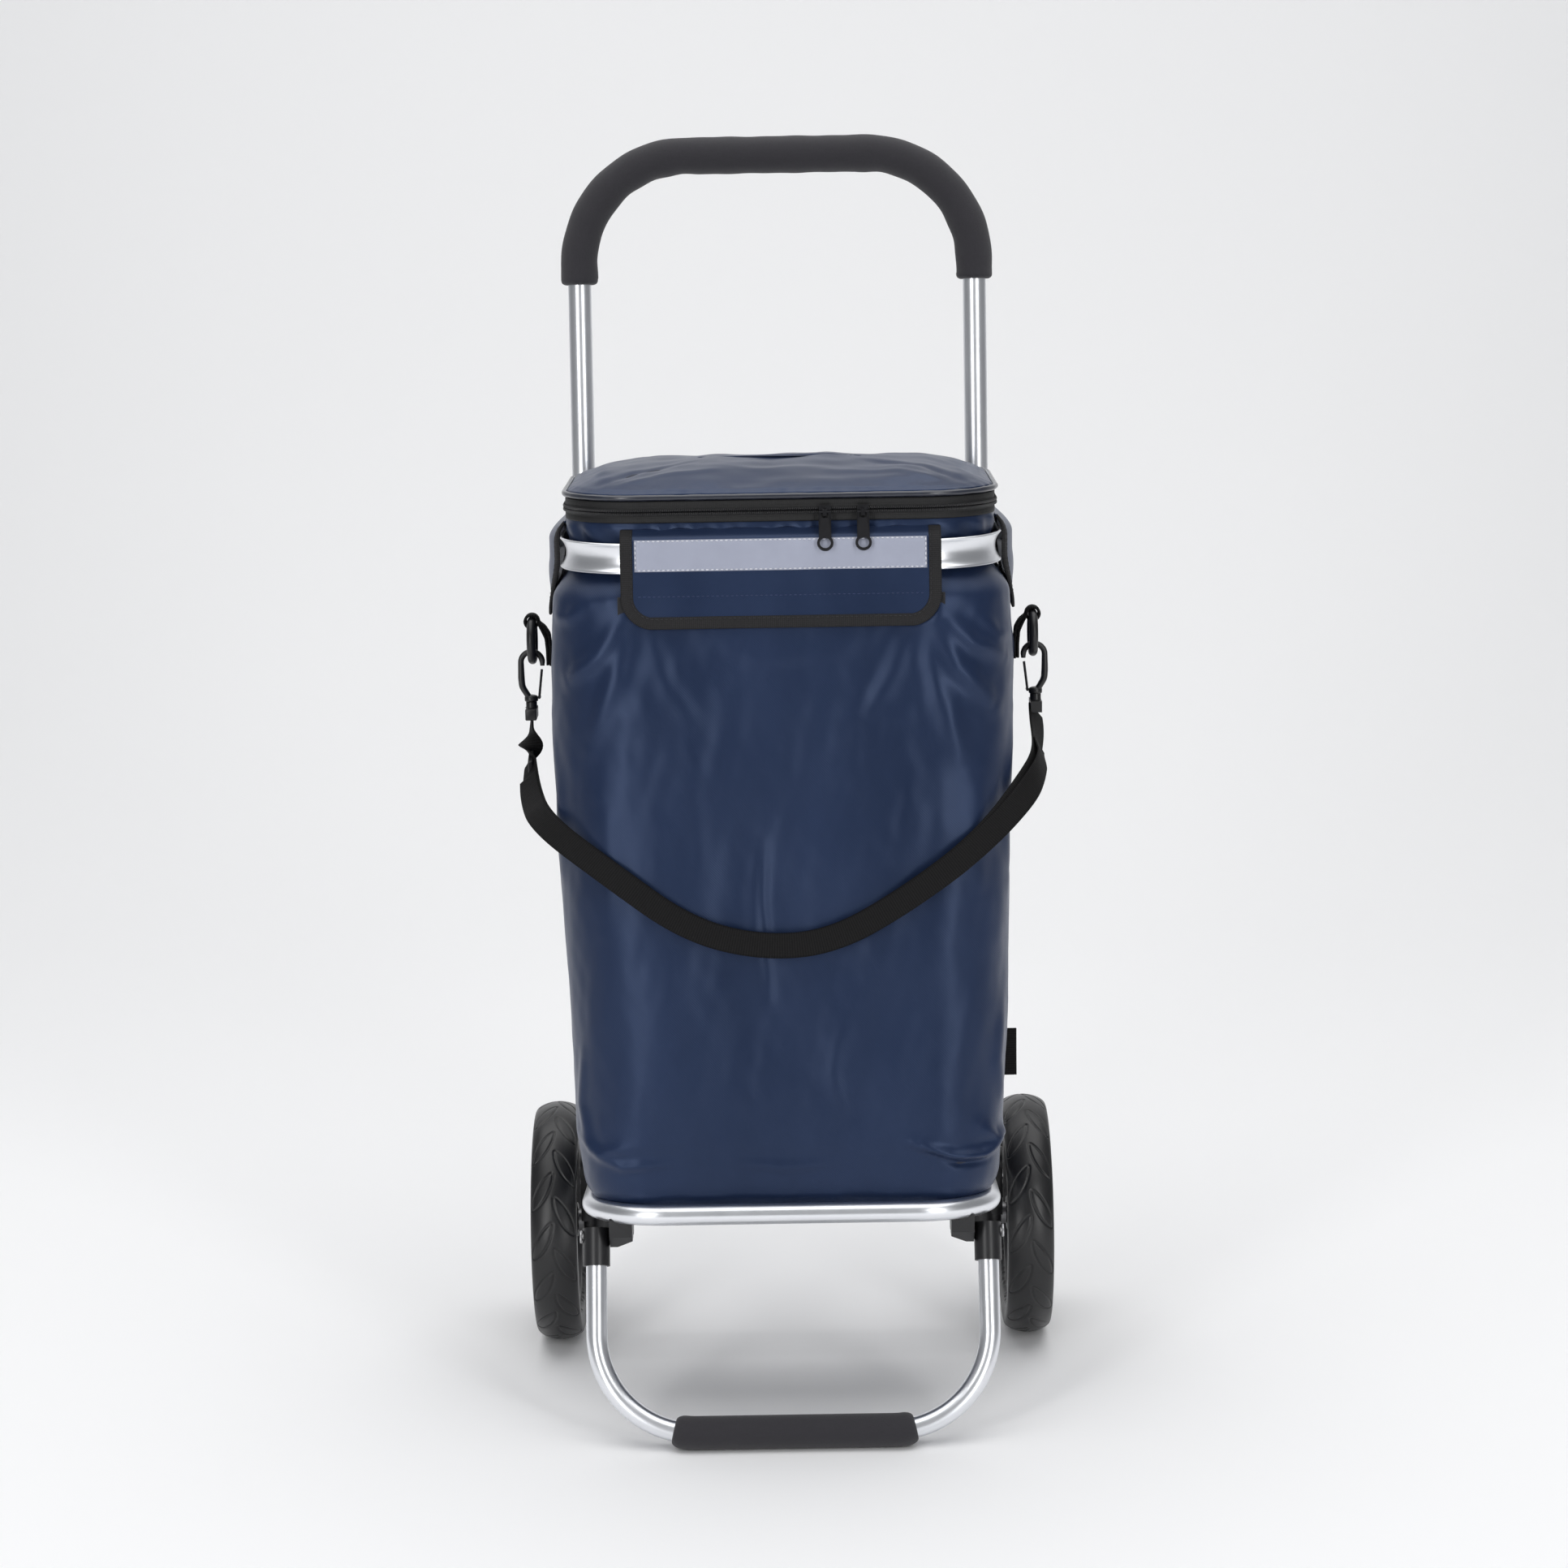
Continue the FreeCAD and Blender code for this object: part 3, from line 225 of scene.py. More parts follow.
def ribbed(name, dark, light, rough, along, across, height, **fixed):
    """Woven band: ribs across its length with a finer thread between."""
    made, tree = blank(name)
    u, v = map_coords(tree)
    ribs = wave(tree, v, along)
    threads = wave(tree, u, across)
    cloth = calc(tree, "ADD", calc(tree, "MULTIPLY", ribs, 0.65), calc(tree, "MULTIPLY", threads, 0.35))
    fuzz = noise(tree, object_coords(tree), 800, 2)
    return material(made, mixed(tree, cloth, dark, light), ranged(tree, fuzz, rough * 0.85, rough * 1.1),
                    bumped(tree, cloth, height, 1.0, bumped(tree, fuzz, 0.08)), **fixed)


def fuzzy(name, dark, light):
    """Hook-and-loop or felted cloth."""
    made, tree = blank(name)
    coords = object_coords(tree)
    loops = noise(tree, coords, 1100, 4, 0.7)
    return material(made, mixed(tree, loops, dark, light), 0.9, bumped(tree, loops, 0.5),
                    Sheen_Weight=0.15)


def welt():
    made, tree = blank("welt_gloss")
    coords = object_coords(tree)
    ripple = noise(tree, coords, 130, 3)
    return material(made, mixed(tree, ripple, (0.008, 0.010, 0.018), (0.02, 0.024, 0.04)), 0.3,
                    bumped(tree, ripple, 0.35, 0.5), Coat_Weight=0.5, Coat_Roughness=0.18)


def reflective():
    made, tree = blank("reflective_film")
    u, v = map_coords(tree)
    beads = calc(tree, "MULTIPLY", wave(tree, u, 0.8), wave(tree, v, 0.8))
    haze = noise(tree, object_coords(tree), 50)
    return material(made, mixed(tree, haze, (0.30, 0.32, 0.40), (0.36, 0.38, 0.47)), 0.5,
                    bumped(tree, beads, 0.03), Metallic=0.25)


LOOKS = {
    "aluminium": aluminium(),
    "foam": foam(),
    "plastic": moulded("plastic_black", (0.006, 0.006, 0.007), 0.36),
    "rim": moulded("rim_plastic", (0.013, 0.013, 0.014), 0.42, grain=0.05),
    "steel": metal("steel_zinc", (0.62, 0.62, 0.63), 0.32),
    "lacquer": metal("lacquer_black", (0.035, 0.035, 0.038), 0.34),
    "tyre": tyre_rubber(),
    "navy": twill("navy_twill", (0.0025, 0.0070, 0.0225), (0.0150, 0.0270, 0.068), 0.33, 1.9, 0.055,
                  Specular_Tint=(0.50, 0.64, 1.0, 1), Specular_IOR_Level=0.5,
                  Sheen_Weight=0.04, Sheen_Roughness=0.45, Sheen_Tint=(0.45, 0.55, 0.9, 1)),
    "lining": twill("navy_lining", (0.010, 0.013, 0.026), (0.022, 0.028, 0.05), 0.7, 0.9, 0.05),
    "webbing": ribbed("webbing_black", (0.001, 0.001, 0.0012), (0.010, 0.0095, 0.010), 0.72, 1.9, 0.9, 0.2,
                      Specular_IOR_Level=0.16),
    "binding": ribbed("binding_black", (0.003, 0.003, 0.003), (0.020, 0.019, 0.021), 0.75, 1.5, 1.0, 0.16,
                      Specular_IOR_Level=0.3),
    "tape": ribbed("zip_tape_black", (0.003, 0.003, 0.003), (0.014, 0.014, 0.015), 0.6, 1.5, 1.1, 0.12,
                   Specular_IOR_Level=0.35),
    "nylon": moulded("nylon_black", (0.012, 0.012, 0.013), 0.3),
    "velcro": fuzzy("hook_and_loop", (0.003, 0.003, 0.004), (0.022, 0.022, 0.024)),
    "welt": welt(),
    "reflective": reflective(),
    "pale_thread": moulded("thread_pale", (0.50, 0.51, 0.56), 0.6),
    "navy_thread": moulded("thread_navy", (0.014, 0.026, 0.075), 0.6),
    "black_thread": moulded("thread_black", (0.010, 0.010, 0.012), 0.6),
}


# ---------------------------------------------------------------- mesh building
def unit(v):
    return v / np.maximum(np.linalg.norm(v, axis=-1, keepdims=True), 1e-9)


def grid(rows, cols, closed=False, first=0):
    """Quads of a grid of vertices; closed joins the last column to the first."""
    span = cols if closed else cols - 1
    r, c = np.meshgrid(np.arange(rows - 1), np.arange(span), indexing="ij")
    d = (c + 1) % cols
    quads = np.stack([r * cols + c, r * cols + d, (r + 1) * cols + d, (r + 1) * cols + c], -1)
    return (quads.reshape(-1, 4) + first).tolist()


def rings(rows, cols, caps=(), joined=False):
    """Faces of a stack of closed rings, with flat caps on some rows or its ends joined."""
    faces = grid(rows, cols, True) + [[row * cols + c for c in range(cols)] for row in caps]
    if joined:
        last = (rows - 1) * cols
        faces += [[last + c, last + (c + 1) % cols, (c + 1) % cols, c] for c in range(cols)]
    return faces


def piece(name, points, faces, look, body=None, slot=None, nodes=(), uv=None, wrap=None, outward=True):
    """A mesh from points in millimetres, riding on a body and standing for CAD nodes."""
    mesh = bpy.data.meshes.new(name)
    mesh.from_pydata((np.asarray(points, float).reshape(-1, 3) * MM).tolist(), [], faces)
    mesh.update()
    if uv is not None:
        layer = mesh.uv_layers.new(name="UVMap")
        corner = np.zeros(len(mesh.loops), np.int32)
        mesh.loops.foreach_get("vertex_index", corner)
        flat = np.asarray(uv, float).reshape(-1, 2)[corner]
        if wrap:
            wrap_round(mesh, flat, wrap)
        layer.data.foreach_set("uv", flat.astype(np.float32).ravel())
    mesh.shade_smooth()
    mesh.materials.append(LOOKS[look])
    made = bpy.data.objects.new(name, mesh)
    bpy.context.scene.collection.objects.link(made)
    if outward:
        consistent(mesh)
    if body:
        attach(made, body)
    if nodes:
        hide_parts(*nodes)
    return made


def consistent(mesh):
    """All faces turned outwards."""
    work = bmesh.new()
    work.from_mesh(mesh)
    bmesh.ops.recalc_face_normals(work, faces=work.faces)
    work.to_mesh(mesh)
    work.free()


def wrap_round(mesh, flat, length):
    """Keeps faces that cross the seam of a closed grid in one stretch of the map."""
    start = 0
    for polygon in mesh.polygons:
        end = start + polygon.loop_total
        u = flat[start:end, 0]
        if u.max() - u.min() > length / 2:
            u[u < u.max() - length / 2] += length
        start = end


def frames(path):
    """Unit tangents along a path, and a normal carried along it without twist."""
    path = np.asarray(path, float)
    tangent = unit(np.gradient(path, axis=0))
    normal = np.zeros_like(path)
    guess = np.array([0.0, 0.0, 1.0]) if abs(tangent[0, 2]) < 0.9 else np.array([0.0, 1.0, 0.0])
    for i, t in enumerate(tangent):
        guess = guess - t * np.dot(guess, t)
        guess = guess / np.linalg.norm(guess)
        normal[i] = guess
    return tangent, normal, np.cross(tangent, normal)


def lengths(path):
    """Distance along a path at each of its points."""
    steps = np.linalg.norm(np.diff(np.asarray(path, float), axis=0), axis=1)
    return np.concatenate([[0], np.cumsum(steps)])


def looked_up(at, run, values):
    """Rows of values, known at the distances in run, for other distances."""
    return np.stack([np.interp(at, run, column) for column in np.asarray(values, float).T], -1)


def sweep(path, sections, side, up):
    """A row of points for each place on a path: sections are (side, up) pairs and may vary."""
    sections = np.asarray(sections, float)
    side, up = (np.broadcast_to(way, (len(path), 3))[:, None] for way in (side, up))
    return np.asarray(path)[:, None] + sections[..., :1] * side + sections[..., 1:] * up


def circle(radius, count):
    turn = np.arange(count) * 2 * math.pi / count
    return np.stack([radius * np.cos(turn), radius * np.sin(turn)], -1)


def swept_piece(name, path, sections, side, up, look, closed_path=False, **also):
    """A solid swept along a path, closed at its ends or joined into a ring."""
    rows, cols = len(path), np.asarray(sections).shape[-2]
    faces = rings(rows, cols, () if closed_path else (0, rows - 1), closed_path)
    section = np.asarray(sections, float)
    section = section if section.ndim == 2 else section[len(section) // 2]
    girth = lengths(np.vstack([section, section[:1]]))
    uv = np.stack([np.tile(girth[:-1], rows), np.repeat(lengths(path), cols)], -1)
    return piece(name, sweep(path, sections, side, up), faces, look, uv=uv, wrap=girth[-1], **also)


def sheet_piece(name, front, back, u, v, look, **also):
    """A thin sheet between the grids of its front and its back, closed round the rim."""
    rows, cols = u.shape
    count = rows * cols
    rim = [r * cols for r in range(rows)] + [(rows - 1) * cols + c for c in range(1, cols)]
    rim += [r * cols + cols - 1 for r in range(rows - 2, -1, -1)] + list(range(cols - 2, 0, -1))
    faces = grid(rows, cols) + grid(rows, cols, first=count)
    faces += [[a, b, b + count, a + count] for a, b in zip(rim, rim[1:] + rim[:1])]
    return piece(name, [front, back], faces, look, uv=[np.stack([u, v], -1)] * 2, **also)


def tube(name, path, radius, look, sides, **also):
    """A round tube; radius may be a list, one for each point of the path."""
    _, side, up = frames(path)
    radii = np.broadcast_to(np.asarray(radius, float), (len(path),))
    return swept_piece(name, path, radii[:, None, None] * circle(1, sides), side, up, look, **also)


def softened(node, look, bevel):
    """A CAD node's own mesh with its edges rounded, riding on the node's body."""
    body = next(b for b, names in frame["record"]["behaviour"]["bodies"].items() if node in names)
    mesh = frame["nodes"][node].data.copy()
    work = bmesh.new()
    work.from_mesh(mesh)
    bmesh.ops.remove_doubles(work, verts=work.verts, dist=0.00001)
    bmesh.ops.dissolve_limit(work, angle_limit=math.radians(1), verts=work.verts, edges=work.edges)
    work.to_mesh(mesh)
    work.free()
    mesh.materials.clear()
    mesh.materials.append(LOOKS[look])
    made = bpy.data.objects.new(f"{node}_shape", mesh)
    bpy.context.scene.collection.objects.link(made)
    edge = made.modifiers.new("edge", "BEVEL")
    edge.width, edge.segments, edge.limit_method = bevel * MM, 2, "ANGLE"
    edge.angle_limit = math.radians(38)
    mesh.shade_smooth()
    mesh.set_sharp_from_angle(angle=math.radians(50))
    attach(made, body)
    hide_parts(node)
    return made


def ripple(u, v, seed, count, wavelength, stretch=(1, 1)):
    """A smooth random surface, about -1 to 1, from sine waves of nearly one wavelength."""
    draw = np.random.default_rng(seed)
    total = np.zeros_like(u, dtype=float)
    for _ in range(count):
        turn, phase = draw.uniform(0, 2 * math.pi, 2)
        k = 2 * math.pi / (wavelength * draw.uniform(0.75, 1.35))
        total += np.sin(k * (u * math.cos(turn) / stretch[0] + v * math.sin(turn) / stretch[1]) + phase)
    return total / math.sqrt(count)


def crease(u, v, line, width, height):
    """A ridge along a polyline of (u, v) points, highest in its middle; negative height is a valley."""
    best = np.zeros_like(u, dtype=float)
    total = lengths(line)
    for (a, b), start in zip(zip(line, line[1:]), total):
        a, b = np.array(a, float), np.array(b, float)
        d = b - a
        t = np.clip(((u - a[0]) * d[0] + (v - a[1]) * d[1]) / (d @ d), 0, 1)
        away = np.hypot(u - a[0] - t * d[0], v - a[1] - t * d[1])
        along = (start + t * np.linalg.norm(d)) / total[-1]
        lift = np.exp(-(away / width) ** 2) * np.sin(np.pi * np.clip(along, 0.04, 0.96)) ** 0.6
        best = np.maximum(best, lift)
    return best * height


def smooth_step(value, low, high):
    t = np.clip((value - low) / (high - low), 0, 1)
    return t * t * (3 - 2 * t)


# ---------------------------------------------------------------- bent tubes
def u_route(half, depth, bend, corner, straight):
    """A U in its own plane, as (x, distance) pairs with outward normals."""
    turn = np.linspace(0, math.pi / 2, corner)
    climb = np.linspace(0, depth - bend, straight)[:-1]
    left = np.stack([np.full_like(climb, -half), climb], -1)
    arc = np.stack([-half + bend - bend * np.cos(turn), depth - bend + bend * np.sin(turn)], -1)
    across = np.linspace(-half + bend, half - bend, straight)[1:-1]
    top = np.stack([across, np.full_like(across, depth)], -1)
    start = np.vstack([left, arc])
    outward = np.vstack([np.tile([-1.0, 0.0], (len(left), 1)),
                         np.stack([-np.cos(turn), np.sin(turn)], -1)])
    flip = np.array([-1.0, 1.0])
    middle = np.tile([0.0, 1.0], (len(top), 1))
    return (np.vstack([start, top, start[::-1] * flip]),
            np.vstack([outward, middle, outward[::-1] * flip]))


def in_plane(route, origin, along):
    """Points of a plane that holds the X axis and a direction."""
    return np.asarray(origin, float) + np.stack([route[:, 0], route[:, 1] * along[1],
                                                 route[:, 1] * along[2]], -1)


POST_HALF, POST_RADIUS, GRIP_RADIUS, GRIP_SIDES, HANDLE_BEND = 162, 9.5, 15, 48, 88
BOW_Z, GRIP_END_Z = 985, 882
LEAN = math.radians(4.5)
HANDLE_FOOT = np.array([0, 84.2, 108])
HANDLE_ALONG = np.array([0, math.sin(LEAN), math.cos(LEAN)])
HANDLE_RUN = (BOW_Z - HANDLE_FOOT[2]) / math.cos(LEAN)
GRIP_FROM = (GRIP_END_Z - HANDLE_FOOT[2]) / math.cos(LEAN)


def handle():
    """The post tube and the foam grip on its bow."""
    route, _ = u_route(POST_HALF, HANDLE_RUN, HANDLE_BEND, 26, 30)
    tube("handle_post", in_plane(route, HANDLE_FOOT, HANDLE_ALONG), POST_RADIUS, "aluminium", 40,
         body="frame", slot="aluminium", nodes=["handle_tube"])
    route, _ = u_route(POST_HALF, HANDLE_RUN - GRIP_FROM, HANDLE_BEND, 60, 70)
    path = in_plane(route, HANDLE_FOOT + GRIP_FROM * HANDLE_ALONG, HANDLE_ALONG)
    run = lengths(path)
    near_end = np.minimum(run, run[-1] - run)
    radius = GRIP_RADIUS - 3.2 * np.exp(-near_end / 1.1) + 0.18 * np.sin(run / 9) \
        + 0.15 * np.sin(run / 4.3 + 1)
    _, side, up = frames(path)
    sections = radius[:, None, None] * circle(1, GRIP_SIDES)
    # the inside of each bend is pressed together in a few soft folds
    centre = HANDLE_FOOT + (HANDLE_RUN - HANDLE_BEND) * HANDLE_ALONG
    points = sweep(path, sections, side, up)
    for sign in (-1, 1):
        hub = centre + np.array([sign * (POST_HALF - HANDLE_BEND), 0, 0])
        inward = unit(hub - path)
        facing = np.clip(np.einsum("ijk,ik->ij", unit(points - path[:, None]), inward), 0, 1) ** 3
        in_bend = (np.abs(np.linalg.norm(path - hub, axis=1) - HANDLE_BEND) < 0.6)[:, None]
        fold = 0.28 * np.sin(run / 5.2)[:, None] * in_bend * facing
        points += inward[:, None] * fold[..., None]
    faces = rings(len(path), GRIP_SIDES, (0, len(path) - 1))
    grip = piece("grip_foam", points, faces, "foam", "frame", "black_foam", ["handle_grip"])


handle()


# ---------------------------------------------------------------- platform, foot and hoop
PIVOT = np.array([0.0, 62.0, 157.0])
PLATFORM_HALF, PLATFORM_RADIUS, PLATFORM_BEND, PLATFORM_TAIL = 157, 8, 60, 6
PLATFORM_FRONT = np.array([0.0, -160.0, 180.0])
FOOT_PIVOT = np.array([0.0, -128.0, 154.0])
FOOT_BAR = np.array([0.0, -186.6, 13.0])
FOOT_HALF, FOOT_RADIUS, FOOT_BEND, LEG_START = 153, 8.2, 77, 9
PAD_RADIUS, PAD_HALF = 13, 93.5
HOOP_Z, HOOP_HALF, HOOP_FRONT, HOOP_REAR, HOOP_BEND = 685.5, 166.5, 120.5, 110, 62


def platform():
    """The hoop that the bag stands on."""
    run = np.linalg.norm(PLATFORM_FRONT - PIVOT)
    forward = (PLATFORM_FRONT - PIVOT) / run
    route, _ = u_route(PLATFORM_HALF, run + PLATFORM_TAIL, PLATFORM_BEND, 26, 12)
    path = in_plane(route, PIVOT - PLATFORM_TAIL * forward, forward)
    tube("platform_tube", path, PLATFORM_RADIUS, "aluminium", 36, body="platform", slot="aluminium",
         nodes=["platform_hoop"])


def foot():
    """The folding U under the platform and the soft pad on its bar."""
    run = np.linalg.norm(FOOT_BAR - FOOT_PIVOT)
    down = (FOOT_BAR - FOOT_PIVOT) / run
    route, _ = u_route(FOOT_HALF, run - LEG_START, FOOT_BEND, 32, 12)
    path = in_plane(route, FOOT_PIVOT + LEG_START * down, down)
    tube("foot_tube", path, FOOT_RADIUS, "aluminium", 36, body="foot", slot="aluminium",
         nodes=["foot_frame"])
    x = PAD_HALF * np.sin(np.linspace(-math.pi / 2, math.pi / 2, 90))
    past = np.clip(np.abs(x) - (FOOT_HALF - FOOT_BEND), 0, None)
    rise = FOOT_BEND - np.sqrt(FOOT_BEND ** 2 - past ** 2)
    path = np.stack([x, np.zeros_like(x), np.zeros_like(x)], -1) + FOOT_BAR - rise[:, None] * down
    end = np.clip((PAD_HALF - np.abs(x)) / 9, 0, 1)
    bore = FOOT_RADIUS + 0.4
    radius = bore + (PAD_RADIUS - bore) * np.sqrt(1 - (1 - end) ** 2)
    pad = tube("foot_foam", path, radius, "foam", 44, body="foot", slot="black_foam", nodes=["foot_pad"])


def hoop():
    """The channel hoop: hollow side outwards, with rolled lips."""
    route, normal = u_route(HOOP_HALF, HOOP_FRONT + HOOP_REAR, HOOP_BEND, 28, 16)
    path = np.stack([route[:, 0], HOOP_REAR - route[:, 1], np.full(len(route), HOOP_Z)], -1)
    out = np.stack([normal[:, 0], -normal[:, 1], np.zeros(len(normal))], -1)
    reach, curve, wall, lip = 10.75, 15.0, 1.6, 4.5
    span = math.asin(reach / curve)
    angle = np.linspace(-span, span, 17)
    front = np.stack([lip - curve * (np.cos(angle) - math.cos(span)), curve * np.sin(angle)], -1)
    back = np.stack([lip - (curve + wall) * np.cos(angle) + curve * math.cos(span),
                     (curve + wall) * np.sin(angle)], -1)[::-1]
    bead = [[lip - 0.2, reach + 0.5], [lip - 0.9, reach + 0.85]]
    section = np.vstack([front, bead, back, np.array(bead)[::-1] * [1, -1]])
    swept_piece("hoop_channel", path, section, out, UP, "aluminium", body="frame", slot="aluminium",
                nodes=["bag_hoop"])


platform()
foot()
hoop()

# ---------------------------------------------------------------- bag
RIM_HALF, RIM_FRONT, RIM_REAR, RIM_BEND = 165, 113.5, 113, 58
HINGE_Z = 674
PLATFORM_TILT = math.degrees(math.atan2(PLATFORM_FRONT[2] - PIVOT[2], PIVOT[1] - PLATFORM_FRONT[1]))
FLOOR_Z = PLATFORM_FRONT[2] + PLATFORM_FRONT[1] * math.tan(math.radians(PLATFORM_TILT)) \
    + PLATFORM_RADIUS + 1.2
BAG_SECTIONS = np.array([  # half width, front, rear, corner, height, tilt
    (151, 147, 60, 44, FLOOR_Z - 7, -PLATFORM_TILT), (160, 153, 70, 48, FLOOR_Z + 4, -PLATFORM_TILT),
    (163, 155, 73, 51, FLOOR_Z + 14, -PLATFORM_TILT), (168, 156, 80, 55, 236, 0),
    (175, 143, 92, 60, 400, 0), (181, 129, 107, 62, 600, 0), (177, 126, 110, 62, 655, 0),
    (162, 115.5, 112, 58, 673, 0), (161.5, 113.5, 112, 58, 690, 0), (164.5, 113.2, 112.6, 58, 706, 0),
    (164.8, 113.3, 112.8, 58, 714, 0),
])
BAG_ANCHOR = (0, 0, 0.671)


def ring_columns(straight, corner, side, rear):
    """Where each column of a rounded ring lies: its segment, and a share or an angle along it."""
    marks = []
    for segment, count in enumerate((rear, corner, side, corner, straight, corner, side, corner, rear)):
        marks += [(segment, i / count) for i in range(count)]
    return np.array(marks)


def rounded_rings(rows, marks):
    """Rings of points, one for each row of (half, front, rear, corner, height, tilt), and normals."""
    half, front, rear, bend, height, tilt = (c[:, None] for c in np.asarray(rows, float).T)
    segment, t = marks[:, 0][None], marks[:, 1][None]
    wide, ahead, behind = half - bend, -(front - bend), rear - bend
    # each entry: start x, start y, end x, end y of a straight, or centre x, centre y, first angle
    straights = {0: (0 * half, rear, -wide, rear), 2: (-half, behind, -half, ahead),
                 4: (-wide, -front, wide, -front), 6: (half, ahead, half, behind),
                 8: (wide, rear, 0 * half, rear)}
    corners = {1: (-wide, behind, 90), 3: (-wide, ahead, 180), 5: (wide, ahead, 270), 7: (wide, behind, 0)}
    facing = {0: 90, 2: 180, 4: 270, 6: 0, 8: 90}
    x, y, angle = (np.zeros((len(half), len(marks))) for _ in range(3))
    for k, (x0, y0, x1, y1) in straights.items():
        here = segment == k
        x = np.where(here, x0 + (x1 - x0) * t, x)
        y = np.where(here, y0 + (y1 - y0) * t, y)
        angle = np.where(here, math.radians(facing[k]), angle)
    for k, (cx, cy, first) in corners.items():
        here = segment == k
        turn = np.radians(first + 90 * t)
        x = np.where(here, cx + bend * np.cos(turn), x)
        y = np.where(here, cy + bend * np.sin(turn), y)
        angle = np.where(here, turn, angle)
    lean = np.radians(tilt)
    points = np.stack([x, y * np.cos(lean), height + y * np.sin(lean)], -1)
    return points, np.stack([np.cos(angle), np.sin(angle), np.zeros_like(angle)], -1)


def smoothed(values, passes):
    """Rows blurred along their first axis, ends kept."""
    values = np.array(values, float)
    for _ in range(passes):
        values[1:-1] = (values[:-2] + 2 * values[1:-1] + values[2:]) / 4
    return values


def resampled(sections, count, passes):
    """Rows between sections, evenly spread over their heights, with the bends softened."""
    heights = np.linspace(sections[0, 4], sections[-1, 4], count)
    return smoothed(looked_up(heights, sections[:, 4], sections), passes)


def around(points):
    """Signed distance of each point from the middle of the front, along its own ring."""
    steps = np.linalg.norm(np.diff(points, axis=1, append=points[:, :1]), axis=-1)
    run = np.concatenate([np.zeros((len(points), 1)), np.cumsum(steps, axis=1)[:, :-1]], axis=1)
    middle = np.argmin(np.abs(points[len(points) // 2, :, 0]) + 1000 * (points[len(points) // 2, :, 1] > 0))
    return run - run[:, middle:middle + 1], steps.sum(axis=1).max()


FOLDS = [  # a crease of the bag's cloth: its line in (around, height), width and height
    ([(-122, 640), (-140, 612), (-172, 590)], 7, 2.2), ([(-118, 634), (-128, 596), (-150, 540)], 8, 1.8),
    ([(-100, 628), (-92, 600), (-70, 560)], 9, 1.2), ([(122, 640), (146, 618), (182, 604)], 7, 2.6),
    ([(118, 636), (134, 600), (168, 566)], 8, 2.3), ([(112, 630), (116, 590), (140, 520)], 9, 1.8),
    ([(96, 628), (84, 596), (60, 560)], 9, 1.2), ([(150, 640), (170, 622), (200, 620)], 6, 1.6),
    ([(-60, 628), (-20, 610), (30, 612), (70, 626)], 9, 0.8),
    ([(-150, 650), (-168, 640), (-190, 640)], 6, 1.6),
    ([(-16, 470), (-18, 420), (-14, 350)], 5, -1.1), ([(40, 330), (34, 290), (44, 250)], 6, 0.7),
    ([(96, 232), (124, 216), (150, 214), (182, 226)], 6.5, 4.2),
    ([(104, 221), (132, 206), (160, 206)], 4.5, -2.6), ([(150, 244), (168, 228), (196, 232)], 6, 2.4),
    ([(-96, 212), (-130, 208), (-160, 222)], 6, 1.8), ([(-120, 232), (-150, 222), (-184, 236)], 7, 1.6),
    ([(-40, 212), (-10, 206), (30, 210)], 7, 1.1), ([(-170, 300), (-176, 260), (-160, 222)], 7, 1.5),
    ([(178, 330), (172, 290), (184, 252)], 7, 1.5), ([(-205, 560), (-192, 500), (-196, 440)], 9, 1.6),
    ([(204, 560), (190, 500), (194, 430)], 9, 1.8), ([(150, 520), (144, 470), (152, 420)], 9, 1.2),
    ([(-140, 500), (-134, 450), (-142, 400)], 9, 1.2), ([(90, 560), (96, 500), (90, 440)], 12, 0.9),
    ([(-60, 560), (-70, 500), (-62, 430)], 12, 0.8),
    ([(-260, 620), (-300, 560), (-330, 540)], 9, 2.0), ([(260, 620), (300, 560), (330, 540)], 9, 2.0),
    ([(-250, 260), (-300, 230), (-330, 250)], 8, 2.2), ([(250, 250), (300, 236), (330, 270)], 8, 2.2),
    ([(-420, 600), (-470, 520), (-460, 420)], 10, 1.6), ([(420, 600), (470, 520), (450, 400)], 10, 1.6),
    ([(-400, 230), (-460, 220), (-520, 240)], 8, 2.0), ([(400, 240), (450, 222), (520, 236)], 8, 2.0),
]
FOLD_DEPTH = 1.6
SIDE_SEAMS = (-232, 232, -395, 395)


def cloth_relief(a, z):
    """How far the bag's cloth stands out from its plain shape, in millimetres."""
    wide = 4.2 * np.exp(-((a + 92) / 40) ** 2) + 3.6 * np.exp(-((a - 88) / 40) ** 2)
    body = smooth_step(z, 195, 290) * (1 - smooth_step(z, 560, 640))
    front = np.clip(1 - (a / 165) ** 2, 0, 1)
    relief = (wide - 0.6 + 2.6 * front) * body
    relief += 1.3 * ripple(a, z, 3, 9, 120, (1, 2.6)) * smooth_step(z, 190, 260)
    relief += 0.55 * ripple(a, z, 5, 10, 52, (1, 2.0))
    relief += 0.10 * ripple(a, z, 8, 12, 17, (1, 1.5))
    for line, width, height in FOLDS:
        relief += FOLD_DEPTH * crease(a, z, line, width, height)
    for seam in SIDE_SEAMS:
        away = np.abs(a - seam)
        relief += 0.35 * np.exp(-((away - 4) / 2.2) ** 2) - 0.9 * np.exp(-(away / 1.6) ** 2)
    calm = 1 - smooth_step(z, 652, 672)
    neck = smooth_step(z, 690, 697) * (1 - smooth_step(z, 708, 713))
    pucker = 1.1 * np.clip(ripple(a, z * 0.3, 12, 8, 16), -1, 1) + 0.6 * np.sin((a + z * 1.2) / 4.4)
    return relief * calm + neck * (1.2 + pucker)


def shrunk(row, shares, marks):
    """Rings like a row's, smaller by each share."""
    return rounded_rings([row * [share, share, share, share, 1, 1] for share in shares], marks)[0]


